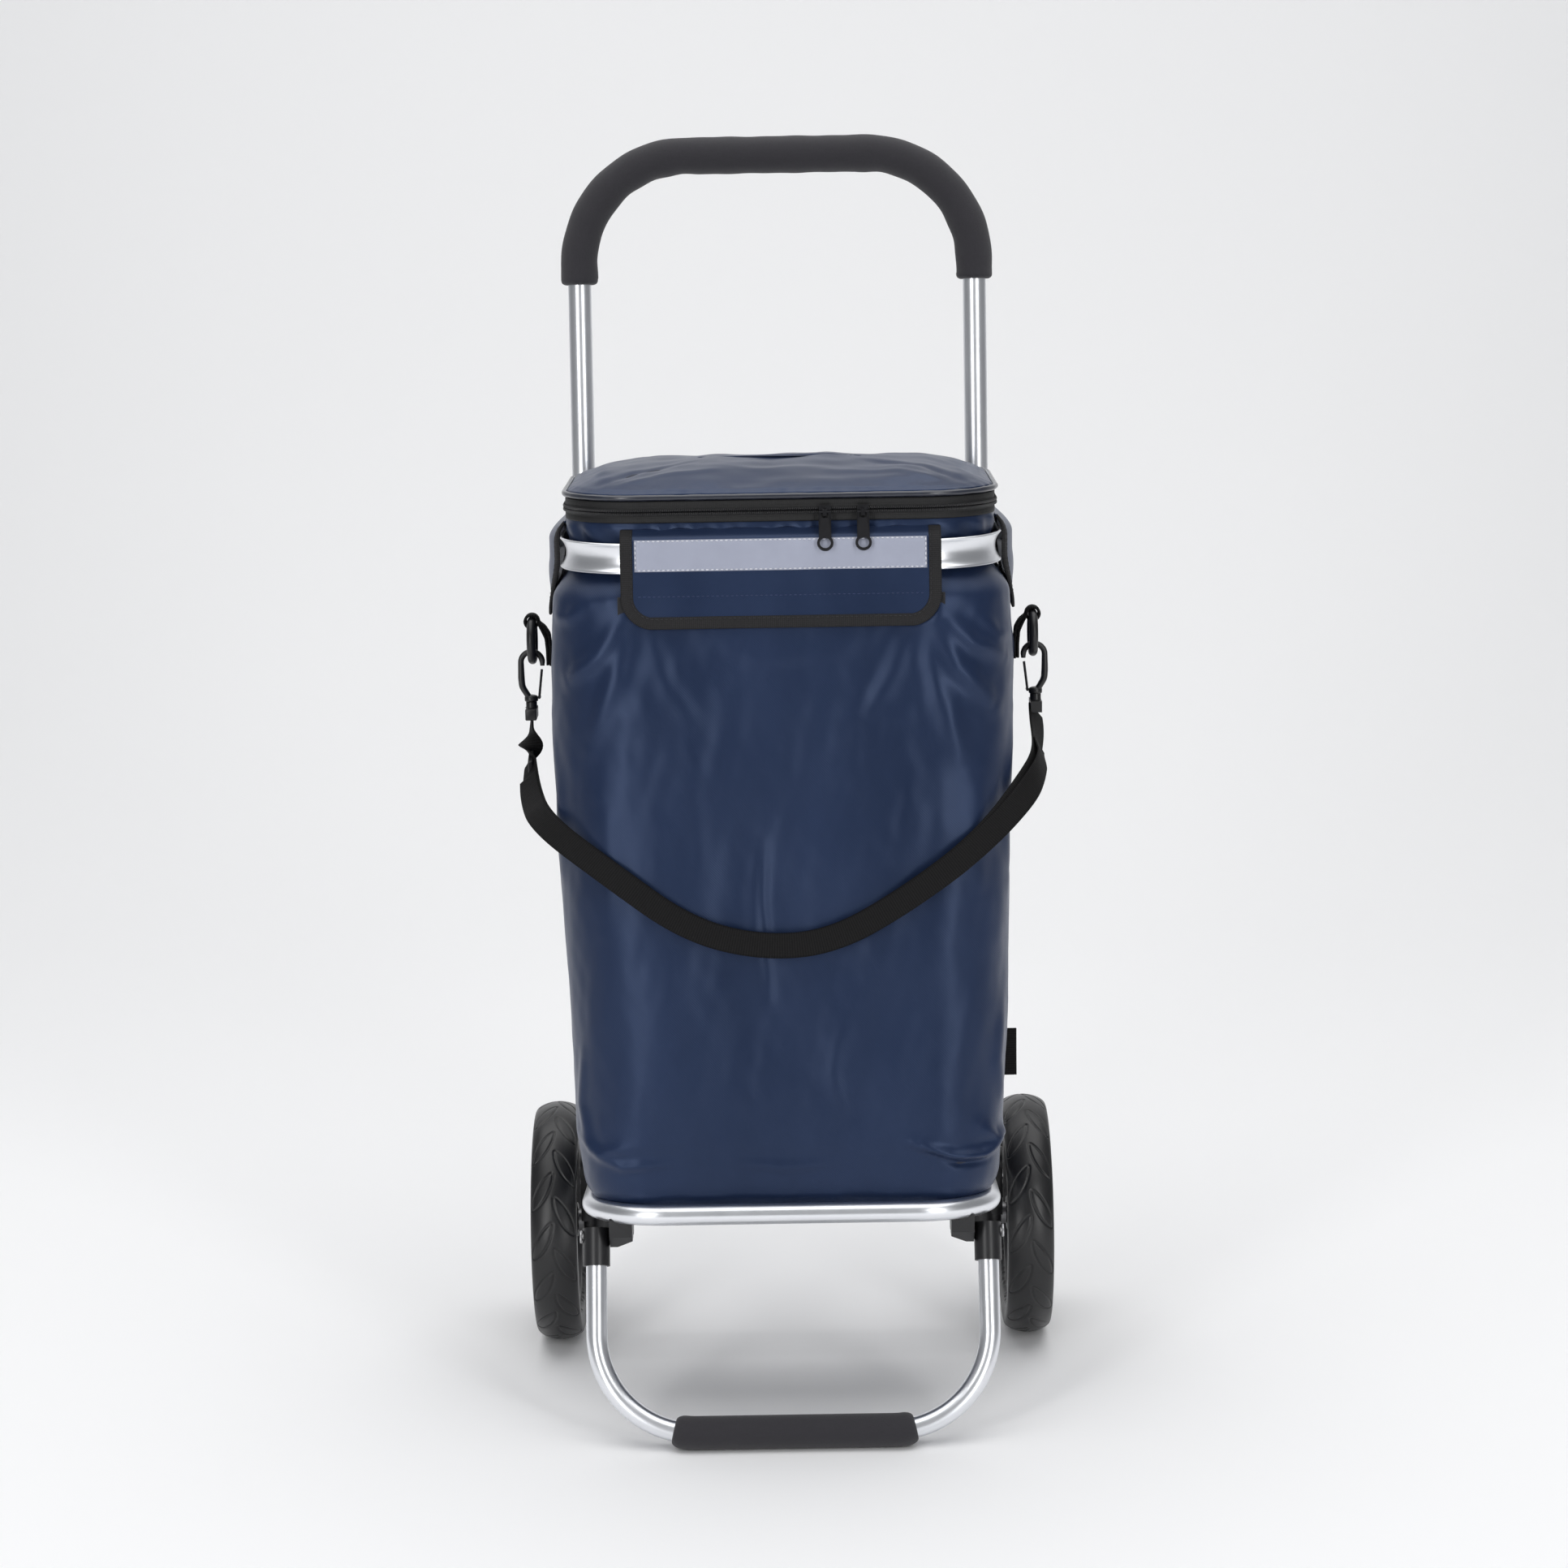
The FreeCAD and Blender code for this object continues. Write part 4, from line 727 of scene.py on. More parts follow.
def gathered(names, shell, u, v, girth, look, nodes=()):
    """One layer of the bag, split at the anchor height into a sack and its neck in the hoop."""
    split = int(np.searchsorted(v[:, 0], BAG_ANCHOR[2] / MM))
    flat, count = np.stack([u, v], -1), shell.shape[1]
    squash(piece(names[0], shell[:split + 1], rings(split + 1, count, [0]), look, "frame",
                 "navy_fabric", nodes, uv=flat[:split + 1], wrap=girth))
    piece(names[1], shell[split:], rings(len(shell) - split, count), look, "frame", "navy_fabric",
          uv=flat[split:], wrap=girth)


def bag():
    """The bag's cloth as a lofted shell with a sagging floor and a hem turned in at the top."""
    marks = ring_columns(170, 44, 76, 80)
    rows = resampled(BAG_SECTIONS, 250, 5)
    points, normal = rounded_rings(rows, marks)
    a, girth = around(points)
    height = rows[:, 4:5] * np.ones_like(a)
    points += normal * cloth_relief(a, height)[..., None]
    turned_in = [rows[-1] - [1.6, 1.6, 1.6, 0.8, 0, 0], rows[-1] - [1.9, 1.9, 1.9, 0.9, 9, 0]]
    hem, _ = rounded_rings(turned_in, marks)
    shares = np.linspace(0.02, 1, 16)[:-1]
    base = shrunk(rows[0], shares, marks)
    base[..., 2] -= 3 * (1 - shares[:, None] ** 2) - 1.2 * ripple(base[..., 0], base[..., 1], 21, 8, 70)
    below = height[:1] - 8.0 * np.arange(len(shares), 0, -1)[:, None]
    gathered(("bag_cover", "bag_neck"), np.concatenate([base, points, hem]),
             np.concatenate([np.repeat(a[:1], len(shares), 0), a, a[-1:], a[-1:]]),
             np.concatenate([below, height, height[-1:] + 1.6, height[-1:] + 10]),
             girth, "navy", ["bag_body"])


def bag_lining():
    """A plainer shell inside the cloth."""
    marks = ring_columns(60, 16, 30, 30)
    rows = resampled(BAG_SECTIONS[:-1], 90, 3) - [3.2, 3.2, 3.2, 2.4, -1.5, 0]
    points, normal = rounded_rings(rows, marks)
    a, girth = around(points)
    height = rows[:, 4:5] * np.ones_like(a)
    points += normal * (0.8 * ripple(a, height, 31, 8, 60, (1, 2)))[..., None]
    base = shrunk(rows[0], (0.05, 0.4, 0.75), marks)
    base[..., 2] -= np.array([5, 4, 2])[:, None]
    gathered(("bag_lining", "neck_lining"), np.concatenate([base, points]),
             np.concatenate([np.repeat(a[:1], 3, 0), a]),
             np.concatenate([np.repeat(height[:1], 3, 0), height]), girth, "lining")


def squash(obj):
    """Gives a piece of the bag's cloth a mesh of its own."""
    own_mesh(obj)


STITCH_LONG, STITCH_GAP, STITCH_HIGH = 2.4, 1.3, 0.22
STITCH = np.array([  # a small rounded bar as (along, across, out), each a share of its size
    (-0.5, 0, 0), (-0.36, 0.5, 0.6), (-0.36, -0.5, 0.6), (0.36, 0.5, 0.6), (0.36, -0.5, 0.6),
    (0.5, 0, 0), (0, 0.5, 1), (0, -0.5, 1), (0, 0.5, -0.2), (0, -0.5, -0.2)])
STITCH_FACES = [(0, 2, 1), (1, 2, 7, 6), (6, 7, 4, 3), (3, 4, 5), (0, 1, 6, 8), (8, 6, 3, 5),
                (0, 9, 7, 2), (9, 5, 4, 7), (0, 8, 9), (8, 5, 9)]


def stitch_row(name, path, normal, look, body, slot, wide):
    """A row of stitches laid along a path, standing up along its normals."""
    run = lengths(path)
    pitch = STITCH_LONG + STITCH_GAP
    middle = np.arange(STITCH_GAP, run[-1] - STITCH_LONG, pitch) + STITCH_LONG / 2
    at, out = looked_up(middle, run, path), unit(looked_up(middle, run, normal))
    along = unit(looked_up(middle + 0.5, run, path) - at)
    ways = np.stack([along, np.cross(out, along), out], 1)
    points = at[:, None] + (STITCH * [STITCH_LONG, wide, STITCH_HIGH]) @ ways
    faces = [[first + i for i in face] for first in range(0, len(STITCH) * len(at), len(STITCH))
             for face in STITCH_FACES]
    return piece(name, points, faces, look, body, slot)


def side_label():
    """A blank woven label, folded double and sewn into the seam."""
    low, high = box_mm("side_label")
    y = (low[1] + high[1]) / 2
    x = np.linspace(low[0] - 2, high[0] - 0.6, 9)
    front = np.stack([x, np.full_like(x, -0.75)], -1)
    bend = np.array([[high[0] - 0.15, -0.5], [high[0], 0.0], [high[0] - 0.15, 0.5]])
    fold = np.vstack([front, bend, front[::-1] * [1, -1], [[low[0] - 2, 0.3], [high[0] - 1, 0.25],
                                                           [high[0] - 1, -0.25], [low[0] - 2, -0.3]]])
    z = np.linspace(low[2], high[2], 14)
    path = np.stack([np.zeros_like(z), y + 0.5 * np.sin((z - low[2]) / 9), z], -1)
    squash(swept_piece("label_fold", path, fold, (1, 0, 0), (0, 1, 0), "webbing", body="frame",
                       slot="black_webbing", nodes=["side_label"]))


bag()
bag_lining()
side_label()


def rounded_line(points, step, passes):
    """Points along a polyline at an even step, with its corners softened."""
    points = np.array(points, float)
    run = lengths(points)
    at = np.linspace(0, run[-1], max(int(run[-1] / step), 4))
    return smoothed(looked_up(at, run, points), passes)


# ---------------------------------------------------------------- lid and zip
LID_ROWS = np.array([  # how far in from the rim, and height
    (0.4, 729.3), (0.3, 731), (1.2, 733.5), (7, 736.5), (24, 742), (52, 748), (92, 751.4)])
LID_CREASES = [([(-90, -40), (-20, -62), (60, -50)], 7, 0.9)]  # line in (x, y), width and height
for _, sign in SIDES:
    LID_CREASES += [([(sign * x, y) for x, y in line], width, rise) for line, width, rise in (
        ([(150, -98), (112, -60), (66, -30)], 6, -2.0), ([(152, 96), (118, 64), (80, 40)], 6, -1.8),
        ([(138, -104), (92, -78), (40, -66)], 5, 1.1), ([(158, -84), (140, -40), (132, 0)], 6, 1.1))]
WELT_OUT, WELT_RADIUS, WELT_Z = 1.9, 2.15, 731
HINGE_HALF = 105
TAPE_BACK, TAPE_WIDTH, TAPE_GAP = 14, 8, 0.4  # the zip stops TAPE_BACK in front of the bag's rear
COIL_OFF, COIL_OUT, COIL_PITCH, COIL_DEEP = 1.35, 2.35, 1.45, 0.95 / 0.62
ZIP_Z = 720


def lid_section(inset, z):
    return [RIM_HALF - inset, RIM_FRONT - inset, RIM_REAR - inset, max(RIM_BEND - 0.85 * inset, 6), z, 0]


def lid():
    """The domed cover, with creases that run in from its corners, and its underside."""
    marks = ring_columns(110, 40, 50, 50)
    along = np.linspace(0, 1, 60) ** 1.15
    inset = np.interp(along, np.linspace(0, 1, len(LID_ROWS)), LID_ROWS[:, 0])
    inset = np.concatenate([smoothed(inset, 3), [100, 106, 110]])
    z = np.interp(inset, LID_ROWS[:, 0], LID_ROWS[:, 1])
    z[:4] = [729.3, 730.3, 731.6, 733.0]
    z = smoothed(z, 2)
    points, normal = rounded_rings([lid_section(i, h) for i, h in zip(inset, z)], marks)
    x, y = points[..., 0], points[..., 1]
    lift = 0.9 * ripple(x, y, 41, 9, 95) + 0.35 * ripple(x, y, 43, 10, 34)
    for line, width, rise in LID_CREASES:
        lift += crease(x, y, line, width, rise)
    lift -= 0.8 * np.exp(-((x - 10) / 70) ** 2 - ((y + 10) / 50) ** 2)
    edge = smooth_step(inset, 3, 22)[:, None]
    points[..., 2] += lift * edge
    points += normal * (0.35 * ripple(x + y, x - y, 47, 8, 15) * (1 - edge))[..., None]
    hem, _ = rounded_rings([lid_section(3.0, 729.6), lid_section(1.4, 729.3)], marks)
    dome = np.concatenate([hem, points])
    under, _ = rounded_rings([lid_section(i + 2.4, h - 2.6) for i, h in zip(inset[::6], z[::6])], marks)
    for name, shell, look, nodes in (("lid_cover", dome, "navy", ["lid_panel"]),
                                     ("lid_lining", under, "lining", [])):
        piece(name, shell, rings(len(shell), len(marks), [len(shell) - 1]), look, "lid", "navy_fabric",
              nodes, uv=shell[..., :2])


def lid_welt():
    """The cord sewn into the lid's edge, open where the lid turns."""
    out = WELT_OUT
    rim = [RIM_HALF + out, RIM_FRONT + out, RIM_REAR + out, RIM_BEND + out, WELT_Z, 0]
    path = rounded_rings([rim], ring_columns(110, 40, 50, 50))[0][0]
    path = path[(np.abs(path[:, 0]) > HINGE_HALF + 3) | (path[:, 1] < 0)]
    swell = 1 + 0.05 * ripple(path[:, 0], path[:, 1], 51, 6, 20)
    side = np.cross(unit(np.gradient(path, axis=0)), UP)
    swept_piece("lid_welt", path, (WELT_RADIUS * swell)[:, None, None] * circle(1, 18), side, UP, "welt",
                body="lid", slot="piping", nodes=["lid_piping"])


def lid_hinge():
    """The strip of cloth at the rear that the lid turns on."""
    line = rounded_line([(112.5, 711.5), (112.6, 716), (112.5, 722), (112.4, 727), (112.2, 731.5)], 0.8, 4)
    x = np.linspace(-HINGE_HALF, HINGE_HALF, 70)[None] * np.ones((len(line), 1))
    y, z = line[:, :1] + 0.2 * ripple(x, line[:, 1:], 71, 6, 30), line[:, 1:] + 0 * x
    strip = sheet_piece("lid_hinge_strip", np.stack([x, y + 0.5, z], -1), np.stack([x, y - 0.5, z], -1),
                        x, z, "navy", slot="navy_fabric", nodes=["lid_hinge_band"])
    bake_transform(strip)


def zip_line(z, out):
    """The zip's route round the front and sides, with normals, at a height and offset."""
    route, normal = u_route(RIM_HALF, RIM_FRONT + RIM_REAR - TAPE_BACK, RIM_BEND, 44, 60)
    rear = RIM_REAR - TAPE_BACK
    away = np.stack([normal[:, 0], -normal[:, 1], np.zeros(len(normal))], -1)
    path = np.stack([route[:, 0], rear - route[:, 1], np.full(len(route), z)], -1)
    return path + out * away, away


def zip_tape(name, way, body, node):
    """A woven tape with a raised cord edge beside the teeth and a stitched groove; way is up or down."""
    path, away = zip_line(0.0, 0.0)
    profile = [(0, 0.35), (0, 1.55), (0.7, 1.75), (1.4, 1.5), (3.0, 1.32), (3.4, 1.1), (3.8, 1.32),
               (6.8, 1.3), (TAPE_WIDTH - 0.1, 1.2), (TAPE_WIDTH - 0.1, 0.35)]
    section = [(out, ZIP_Z + way * (TAPE_GAP + across)) for across, out in profile]
    swept_piece(name, path, section, away, UP, "tape", body=body, slot="zip_tape", nodes=[node])


def zip_teeth(name, way, body, node):
    """A coil's loops: small leaning beads at an even pitch along the zip."""
    path, away = zip_line(ZIP_Z + way * COIL_OFF, COIL_OUT)
    run = lengths(path)
    at = np.arange(2, run[-1] - 2, COIL_PITCH)
    centre, out = looked_up(at, run, path), unit(looked_up(at, run, away))
    along = np.cross(UP, out)
    points = []
    for height, wide in ((-1.15, 0.25), (-0.8, 0.52), (0, 0.62), (0.8, 0.52), (1.15, 0.25)):
        for c, s in circle(wide, 6):
            lean = c - 0.35 * way * height
            points.append(centre + along * lean + out * (COIL_DEEP * s) + UP * height)
    bead = rings(5, 6, (0, 4))
    faces = [[30 * loop + i for i in face] for loop in range(len(at)) for face in bead]
    piece(name, np.stack(points, 1), faces, "nylon", body, "zip_teeth", [node])


lid()
lid_welt()
lid_hinge()
for name, node, way, body in (("low", "lower", -1, "frame"), ("high", "upper", 1, "lid")):
    zip_tape(f"zip_tape_{name}", way, body, f"zip_tape_{node}")
    zip_teeth(f"zip_coil_{name}", way, body, f"zip_teeth_{node}")


# ---------------------------------------------------------------- flaps
class Flap:
    """A flap of cloth: a section of (out, height) points, carried across a width."""

    def __init__(self, name, section, half, corner, place, body, belly=0.0):
        self.name, self.half, self.corner = name, half, corner
        self.place, self.body, self.belly = place, body, belly
        self.line = rounded_line(section, 1.2, 6)
        self.run = lengths(self.line)
        slope = unit(np.gradient(self.line, axis=0))
        self.normal = np.stack([-slope[:, 1], slope[:, 0]], -1)

    def width_at(self, s):
        left = np.clip(self.corner - (self.run[-1] - s), 0, self.corner)
        return self.half - self.corner + np.sqrt(np.maximum(self.corner ** 2 - left ** 2, 0))

    def at(self, x, s, lift=0.0):
        """The place of a point of the flap, lifted along its normal."""
        x, s = np.broadcast_arrays(np.asarray(x, float), np.asarray(s, float))
        spot = looked_up(s, self.run, self.line) + lift * looked_up(s, self.run, self.normal)
        share = s / self.run[-1]
        swell = smooth_step(share, 0.0, 0.25) * (1 - smooth_step(share, 0.5, 0.98))
        spot[..., 0] += 0.5 * ripple(x, s, 61, 8, 60) * smooth_step(s, 14, 40)
        spot[..., 0] += self.belly * (1 - np.abs(x / self.half) ** 2.4) * swell
        return self.place(x, spot[..., 0], spot[..., 1])

    def outward(self, x, s):
        return unit(self.at(x, s, 1.0) - self.at(x, s, 0.0))

    def blend(self, obj):
        start, end = (tuple(self.place(0, 0, HINGE_Z + off) * MM) for off in (3.5, -3.5))
        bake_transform(obj)

    def panel(self, nodes):
        s = self.run[:, None] * np.ones((1, 90))
        s[-1] -= 0.15
        x = self.width_at(s) * np.linspace(-1, 1, 90)[None]
        self.blend(sheet_piece(f"{self.name}_cloth", self.at(x, s, 0.55), self.at(x, s, -0.55), x, s,
                               "navy", slot="navy_fabric", nodes=nodes))

    def outline(self, inset, top):
        """Points (x, s) down one side, round the lower corners and up the other, with inward ways."""
        turn = np.linspace(0, math.pi / 2, 22)
        end, radius = self.run[-1] - inset, self.corner - inset
        down = np.linspace(top, end - radius, 40)[:-1]
        left = np.stack([np.full_like(down, -self.half + inset), down], -1)
        way = np.stack([np.cos(turn), -np.sin(turn)], -1)
        arc = [radius - self.half + inset, end - radius] - radius * way
        across = np.linspace(-self.half + self.corner, self.half - self.corner, 60)[1:-1]
        inward = np.vstack([np.tile([1.0, 0.0], (len(left), 1)), way])
        start, flip = np.vstack([left, arc]), np.array([-1.0, 1.0])
        return (np.vstack([start, np.stack([across, np.full_like(across, end)], -1), start[::-1] * flip]),
                np.vstack([inward, np.tile([0.0, -1.0], (len(across), 1)), inward[::-1] * flip]))

    def binding(self, wide):
        """Woven tape folded over the flap's edge."""
        spots, inward = self.outline(0, 1.5)
        x, s = spots.T
        path = self.at(x, np.minimum(s, self.run[-1] - 0.3))
        step = self.at(x + inward[:, 0], np.clip(s + inward[:, 1], 0, self.run[-1]))
        up = self.outward(x, np.minimum(s, self.run[-1] - 1))
        half = [(-0.9, 0.35), (-0.55, 0.95), (0.3, 1.2), (wide * 0.4, 1.28), (wide - 0.5, 1.15),
                (wide, 0.75)]
        section = half + [(a, -b) for a, b in half[::-1]]
        self.blend(swept_piece(f"{self.name}_binding", path, section, unit(step - path), up, "binding",
                               slot="black_webbing"))

    def stitching(self, name, spots, look, lift=0.6, body=None, wide=0.6):
        """A row of stitches laid on the flap, riding on a body if one is given."""
        x, s = np.asarray(spots, float).T
        made = stitch_row(f"{self.name}_{name}", self.at(x, s, lift), self.outward(x, s), look, body,
                          "navy_fabric", wide)
        if body is None:
            self.blend(made)


FLAP_CORNER = 24


def front_flap():
    """The wide flap over the front of the hoop, with its reflective strip."""
    section = [(114.0, 707), (117, 705), (124.3, 701), (126.8, 695), (126.7, 676), (127.2, 666),
               (129.4, 642), (130.2, 632.8)]
    _, tongue = box_mm("front_flap_tongue")
    flap = Flap("front_flap", section, tongue[0], FLAP_CORNER, lambda x, out, z: np.stack(
        np.broadcast_arrays(x, -np.asarray(out, float), z), -1), "front_tongue")
    flap.panel(["front_flap", "front_flap_tongue"])
    flap.binding(8.6)
    low, high = box_mm("reflective_strip")
    top, bottom, cross = np.interp([-high[2] - 1.5, -low[2], -657], -flap.line[:, 1], flap.run)
    s, x = np.meshgrid(np.linspace(top, bottom, 14), np.linspace(low[0], high[0], 70), indexing="ij")
    sheet_piece("reflective_band", flap.at(x, s, 1.0), flap.at(x, s, 0.4), x, s, "reflective",
                body="frame", slot="reflective", nodes=["reflective_strip"])
    reach, side = high[0] - 1, high[0] - 0.9
    for name, start, end, count in (
            ("top", (-reach, top + 1.1), (reach, top + 1.1), 80),
            ("low", (-reach, bottom - 1.1), (reach, bottom - 1.1), 80),
            ("left", (-side, top), (-side, bottom), 12), ("right", (side, top), (side, bottom), 12)):
        flap.stitching(f"stitch_{name}", np.linspace(start, end, count), "pale_thread", 1.02, "frame", 1.0)
    flap.stitching("stitch_cross", np.linspace((-110, cross), (110, cross), 80), "navy_thread")
    flap.stitching("stitch_edge", flap.outline(7.2, 6)[0], "black_thread", 1.22)


def side_flap(side, sign):
    """A narrower flap over the hoop's side."""
    section = [(166.7, 708), (169.3, 705.5), (172.4, 700), (173.2, 694), (173.0, 676), (174.2, 667),
               (177.4, 655), (180.6, 642), (182.4, 633)]
    low, high = box_mm(f"side_flap_tongue_{side}")
    middle, half = (low[1] + high[1]) / 2, (high[1] - low[1]) / 2
    flap = Flap(f"side_flap_{side}", section, half, FLAP_CORNER, lambda x, out, z: np.stack(
        np.broadcast_arrays(sign * np.asarray(out, float), middle + x, z), -1), f"{side}_tongue", 9.5)
    flap.panel([f"side_flap_{side}", f"side_flap_tongue_{side}"])
    flap.binding(7.5)
    flap.stitching("stitch_edge", flap.outline(6.2, 6)[0], "black_thread", 1.22)


front_flap()
for side, sign in SIDES:
    side_flap(side, sign)


# ---------------------------------------------------------------- shoulder strap
STRAP_ROUTE = [
    (-201, 0, 545), (-203, -10, 515), (-200, -46, 492), (-187, -112, 480), (-134, -153, 448),
    (-77, -155, 405), (-20, -155, 389), (35, -155, 393), (92, -155, 425), (150, -150, 467),
    (191, -99, 507), (201, -33, 527), (201, 0, 545),
]
WEB_WIDTH, WEB_THICK = 20, 1.5


def spline_line(route, count):
    """Points in millimetres along a smooth spline whose control points are the route."""
    curve = bpy.data.curves.new("route", "CURVE")
    curve.dimensions, curve.resolution_u = "3D", 24
    spline = curve.splines.new("NURBS")
    spline.points.add(len(route) - 1)
    for point, place in zip(spline.points, route):
        point.co = (*(v * MM for v in place), 1)
    spline.order_u, spline.use_endpoint_u = 3, True
    carrier = bpy.data.objects.new("route", curve)
    mesh = bpy.data.meshes.new_from_object(carrier)
    line = np.array([v.co for v in mesh.vertices], float) / MM
    bpy.data.objects.remove(carrier)
    bpy.data.curves.remove(curve)
    bpy.data.meshes.remove(mesh)
    run = lengths(line)
    return looked_up(np.linspace(0, run[-1], count), run, line)


def web_section(width, thick):
    """A flat woven band's section with rounded edges."""
    half, lip = width / 2, thick / 2
    across = [lip - half, *np.linspace(-half * 0.75, half * 0.75, 7), half - lip]
    return np.array([(x, lip) for x in across] + [(half, 0)] + [(x, -lip) for x in across[::-1]]
                    + [(-half, 0)])


def ribbon(name, line, face, twist, width, nodes=()):
    """The strap's webbing along a line; face is the way its flat side looks, turned by twist radians."""
    tangent = unit(np.gradient(line, axis=0))
    face = unit(face - tangent * np.sum(face * tangent, axis=1, keepdims=True))
    side = np.cross(tangent, face)
    c, s = np.cos(twist)[:, None], np.sin(twist)[:, None]
    return swept_piece(name, line, web_section(width, WEB_THICK), side * c + face * s,
                       face * c - side * s, "webbing", body="strap", slot="black_webbing", nodes=nodes)


def strap():
    """The shoulder strap: one length of webbing and a second layer that returns beside it."""
    line = spline_line(STRAP_ROUTE, 420)
    run = lengths(line)
    share = run / run[-1]
    away = unit(line * [1, 1, 0] - [0, -20, 0])
    away[:, 2] = 0.70
    twist = math.pi * smooth_step(share, 0.012, 0.055)
    twist = twist - 0.55 * np.sin(np.pi * smooth_step(share, 0.80, 0.995)) + 0.18 * np.sin(share * 9)
    main = ribbon("strap_webbing", line, away, twist, WEB_WIDTH, ["shoulder_strap"])
    part = (share > 0.075) & (share < 0.93)
    spread = smooth_step(share, 0.72, 0.90) * (1 - smooth_step(share, 0.905, 0.93))
    second = line + away * (1.9 + 3.5 * spread)[:, None] - UP * (0.6 + 6 * spread)[:, None]
    layer = ribbon("strap_return", second[part], away[part], twist[part] + 0.1, WEB_WIDTH - 0.5)
    fittings = [softened("strap_adjuster", "plastic", 1.0)]
    for side, _ in SIDES:
        fittings += [softened(f"hook_swivel_{side}", "plastic", 1.3),
                     softened(f"hook_gate_{side}", "lacquer", 0.2), snap_hook(side)]


HOOK_X, RING_X, RING_Z, RING_RADIUS, WIRE_RADIUS = 201, 199, 608, 15.5, 3.5
CROWN_X, CROWN_Z, CROWN_RADIUS = 200, 590.5, 8.5


def snap_hook(side):
    """A moulded snap hook: a flat spine that swells at the shoulder and a crown round the ring."""
    sign = -1 if side == "left" else 1
    spine = [(HOOK_X, 560.5), (203.5, 563.5), (208.0, 571), (208.5, 578), (208.5, 585)]
    crown = np.linspace(0, math.pi, 26)
    arc = np.stack([CROWN_X + CROWN_RADIUS * np.cos(crown), CROWN_Z + CROWN_RADIUS * np.sin(crown)], -1)
    tip = [[CROWN_X - CROWN_RADIUS, 589], [CROWN_X - CROWN_RADIUS, 587.8]]
    path = np.vstack([rounded_line(spine, 1.0, 4), arc, tip])
    path = path[np.concatenate([[True], np.diff(lengths(path)) > 0.2])]
    share = lengths(path) / lengths(path)[-1]
    thick = 2.3 + 0.35 * np.exp(-((share - 0.3) / 0.16) ** 2) - 0.5 * smooth_step(share, 0.93, 1.0)
    deep = 3.3 + 1.0 * np.exp(-((share - 0.25) / 0.2) ** 2) - 0.9 * smooth_step(share, 0.4, 0.6) \
        - 0.4 * smooth_step(share, 0.9, 1.0)
    line = np.stack([sign * path[:, 0], np.zeros(len(path)), path[:, 1]], -1)
    round_off = circle(1, 20)
    round_off = np.sign(round_off) * np.abs(round_off) ** 0.75
    sections = round_off[None] * np.stack([thick, deep], -1)[:, None]
    out = np.cross(unit(np.gradient(line, axis=0)), (0, 1, 0))
    hook = swept_piece(f"hook_body_{side}", line, sections, out, (0, 1, 0), "plastic", body="strap",
                       slot="black_plastic", nodes=[f"snap_hook_{side}"])
    collar = [(5.2, 559.4), (5.4, 560.2), (5.4, 562.6), (4.6, 563.6), (3.0, 564.2)]
    points = [(sign * HOOK_X + x, y, z) for r, z in collar for x, y in circle(r, 32)]
    piece(f"hook_collar_{side}", points, rings(len(collar), 32, (0, len(collar) - 1)), "plastic", "strap",
          "black_plastic")
    return hook


def ring_and_loop(side, sign):
    """A round ring, and the webbing loop that holds it to the bag's side."""
    spokes = circle(1, 72)
    radial = np.stack([np.zeros(len(spokes)), spokes[:, 0], spokes[:, 1]], -1)
    path = (sign * RING_X, 0, RING_Z) + RING_RADIUS * radial
    swept_piece(f"ring_{side}", path, circle(WIRE_RADIUS, 22), radial, (1, 0, 0), "plastic",
                closed_path=True, body="frame", slot="black_plastic", nodes=["strap_rings"])
    route = [(184.3, 588), (184.4, 602), (185.4, 613), (189.0, 619.0)]
    route += [(RING_X + 5.3 * math.cos(t), RING_Z + RING_RADIUS + 5.3 * math.sin(t))
              for t in np.radians(np.linspace(190, -170, 25))]
    route += [(190.6, 616.2), (187.8, 610), (186.9, 600), (186.8, 588.5)]
    line = rounded_line(route, 0.9, 3)
    line = np.stack([sign * line[:, 0], np.zeros(len(line)), line[:, 1]], -1)
    out = np.cross(unit(np.gradient(line, axis=0)), (0, 1, 0))
    swept_piece(f"tab_loop_{side}", line, web_section(12, 2.3), (0, 1, 0), out, "webbing", body="frame",
                slot="black_webbing", nodes=["ring_tabs"])


strap()
for side, sign in SIDES:
    ring_and_loop(side, sign)


# ---------------------------------------------------------------- wheels
WHEEL_X, AXLE_Y, WHEEL_RADIUS, WHEEL_WIDTH = 196, 100, 100, 38
LEAVES = 15


def tread_depth(arc, x, pitch):
    """Grooves that outline two staggered rows of slanting leaves, and a ridge between them."""
    depth = np.zeros_like(arc)
    slant, long, fat, row_off, groove, deep = math.radians(27), 18.5, 4.7, 8.8, 0.62, 1.1
    for row in (-1, 1):
        for shift in (-1, 0, 1):
            p = arc - (np.floor(arc / pitch) + 0.5 + shift + 0.25 * row) * pitch
            q = x - row * row_off
            along = p * math.cos(slant) + row * q * math.sin(slant)
            across = q * math.cos(slant) - row * p * math.sin(slant)
            share = np.clip(np.abs(along) / long, 0, 1)
            edge = fat * (1 - share ** 2) ** 0.8
            line = (share < 1) * np.exp(-((np.abs(across) - edge) / groove) ** 2)
            depth = np.maximum(depth, line)
    return deep * depth


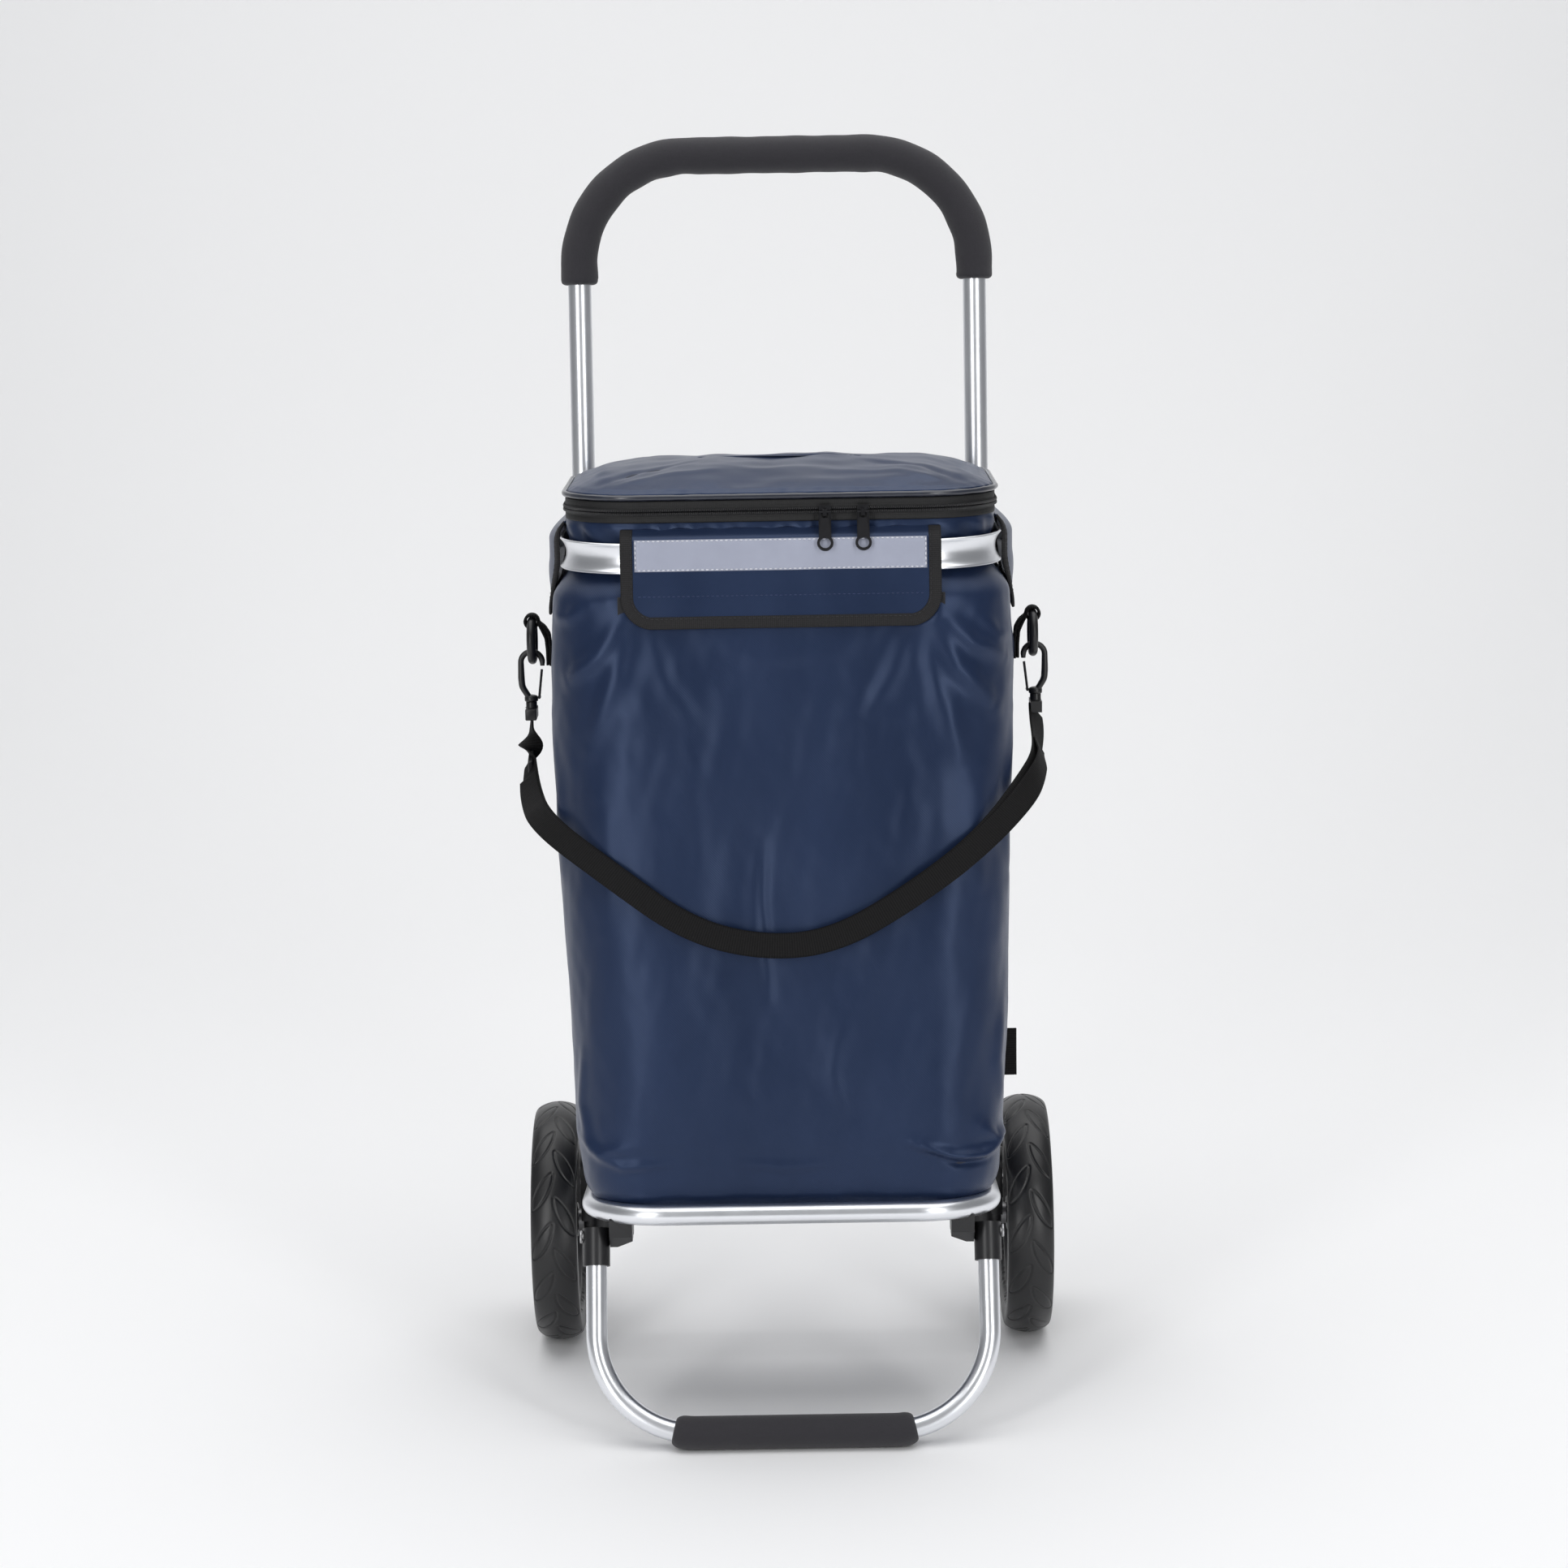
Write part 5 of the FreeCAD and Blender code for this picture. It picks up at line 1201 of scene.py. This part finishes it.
def tyre(side, sign):
    """One tyre: beads, side walls and a crown cut by its tread."""
    crown = np.radians(np.linspace(-90, 90, 66))
    wall = np.array([(14.5, 77.6), (16.6, 79.4), (17.9, 83.0), (18.7, 87.4)])  # (x, radius)
    x = np.concatenate([-wall[:, 0], WHEEL_WIDTH / 2 * np.sin(crown), wall[::-1, 0]])
    r = np.concatenate([wall[:, 1], WHEEL_RADIUS - 9 * (1 - np.cos(crown)) ** 0.9, wall[::-1, 1]])
    count = 900
    turn = np.arange(count) * 2 * math.pi / count
    arc = turn[:, None] * WHEEL_RADIUS * np.ones((1, len(x)))
    across = np.ones((count, 1)) * x[None]
    pitch = 2 * math.pi * WHEEL_RADIUS / LEAVES
    tread = 1 - smooth_step(np.abs(across), 16.5, 18.8)
    radius = r[None] - tread * tread_depth(arc, across, pitch)
    lip = 0.5 * np.exp(-((r[None] - 87) / 0.9) ** 2) * np.sign(across)
    points = np.stack([sign * WHEEL_X + across + lip, AXLE_Y + radius * np.cos(turn)[:, None],
                       WHEEL_RADIUS + radius * np.sin(turn)[:, None]], -1)
    piece(f"tyre_tread_{side}", points.transpose(1, 0, 2), rings(len(x), count, joined=True), "tyre",
          f"{side}_wheel", "tyre_rubber", [f"tyre_{side}"])


for side, sign in SIDES:
    tyre(side, sign)


# ---------------------------------------------------------------- moulded and turned CAD parts
SOFTENED = (  # look, slot, and the edge radius of each node
    ("steel", "steel", {"axle": 0.5, "bracket_bolts": 0.5, "wheel_spacers": 0.3, "clamp_rivets": 0.5,
                        "platform_pins": 0.4, "foot_pins": 0.4}),
    ("velcro", "velcro", {"front_velcro": 0.35, "side_velcros": 0.35}),
    ("plastic", "black_plastic", {"axle_caps": 0.5}),
)
SOFTENED_PAIRS = (  # the same for nodes of which each side has its own
    ("plastic", "black_plastic", {"axle_bracket": 1.2, "hoop_clamp": 1.0, "foot_bracket": 0.8,
                                  "foot_socket": 1.2, "hub_bush": 0.3}),
    ("rim", "black_plastic", {"rim": 0.9}),
    ("lacquer", "black_wire", {"zip_slider": 0.4, "zip_pull": 0.35}),
)
for look, slot, nodes in SOFTENED:
    for node, bevel in nodes.items():
        softened(node, look, bevel)
for look, slot, nodes in SOFTENED_PAIRS:
    for node, bevel in nodes.items():
        for side, _ in SIDES:
            softened(f"{node}_{side}", look, bevel)


# ---------------------------------------------------------------- stage, light and camera
def stage_material():
    made, tree = blank("floor_pale")
    haze = noise(tree, object_coords(tree), 0.6, 2)
    return material(made, mixed(tree, haze, (0.90, 0.90, 0.905), (0.93, 0.93, 0.935)), 0.8)


def studio():
    """A pale floor that curves up into a backdrop."""
    LOOKS["floor"] = stage_material()
    turn = np.linspace(0, math.pi / 2, 20)
    front, back, bend, top, wide = -9000, 3200, 1600, 7000, 9000
    profile = [(front, 0), (back - bend, 0)] + [(back - bend + bend * math.sin(t), bend - bend * math.cos(t))
                                                for t in turn[1:]] + [(back, top)]
    points = [(x, y, z) for y, z in profile for x in (-wide, wide)]
    floor = piece("studio_floor", points, grid(len(profile), 2), "floor", outward=False)


def softbox(name, place, aim, size, power):
    light = bpy.data.lights.new(name, "AREA")
    light.shape, light.size, light.size_y, light.energy = "RECTANGLE", *size, power
    lamp = bpy.data.objects.new(name, light)
    bpy.context.scene.collection.objects.link(lamp)
    lamp.location = place
    lamp.rotation_euler = (Vector(aim) - Vector(place)).to_track_quat("-Z", "Y").to_euler()


def lighting():
    """Tall softboxes at both sides, a wide one above and a pale surround."""
    world = bpy.data.worlds.new("surround")
    bpy.context.scene.world = world
    world.use_nodes = True
    surround = world.node_tree.nodes["Background"].inputs
    surround["Color"].default_value = (0.95, 0.97, 1.0, 1)
    surround["Strength"].default_value = 0.24
    softbox("key_left", (-1.4, -2.6, 1.15), (0, 0, 0.5), (0.5, 2.2), 25)
    softbox("key_right", (1.45, -2.55, 1.15), (0, 0, 0.5), (0.5, 2.2), 23)
    softbox("overhead", (0, 0.1, 3.4), (0, 0.1, 0), (4.5, 4.5), 112)


def camera():
    """The viewing angle: nearly square to the front, from a metre up, looking down a little."""
    data = bpy.data.cameras.new("view")
    data.sensor_width, data.lens = 36, 84.4
    made = bpy.data.objects.new("view", data)
    bpy.context.scene.collection.objects.link(made)
    made.location = (0.0078, -2.90, 1.0)
    made.rotation_euler = (math.radians(80.0), math.radians(0.95), 0)
    bpy.context.scene.camera = made
    bpy.context.scene.view_settings.view_transform = "Standard"


studio()
lighting()
camera()
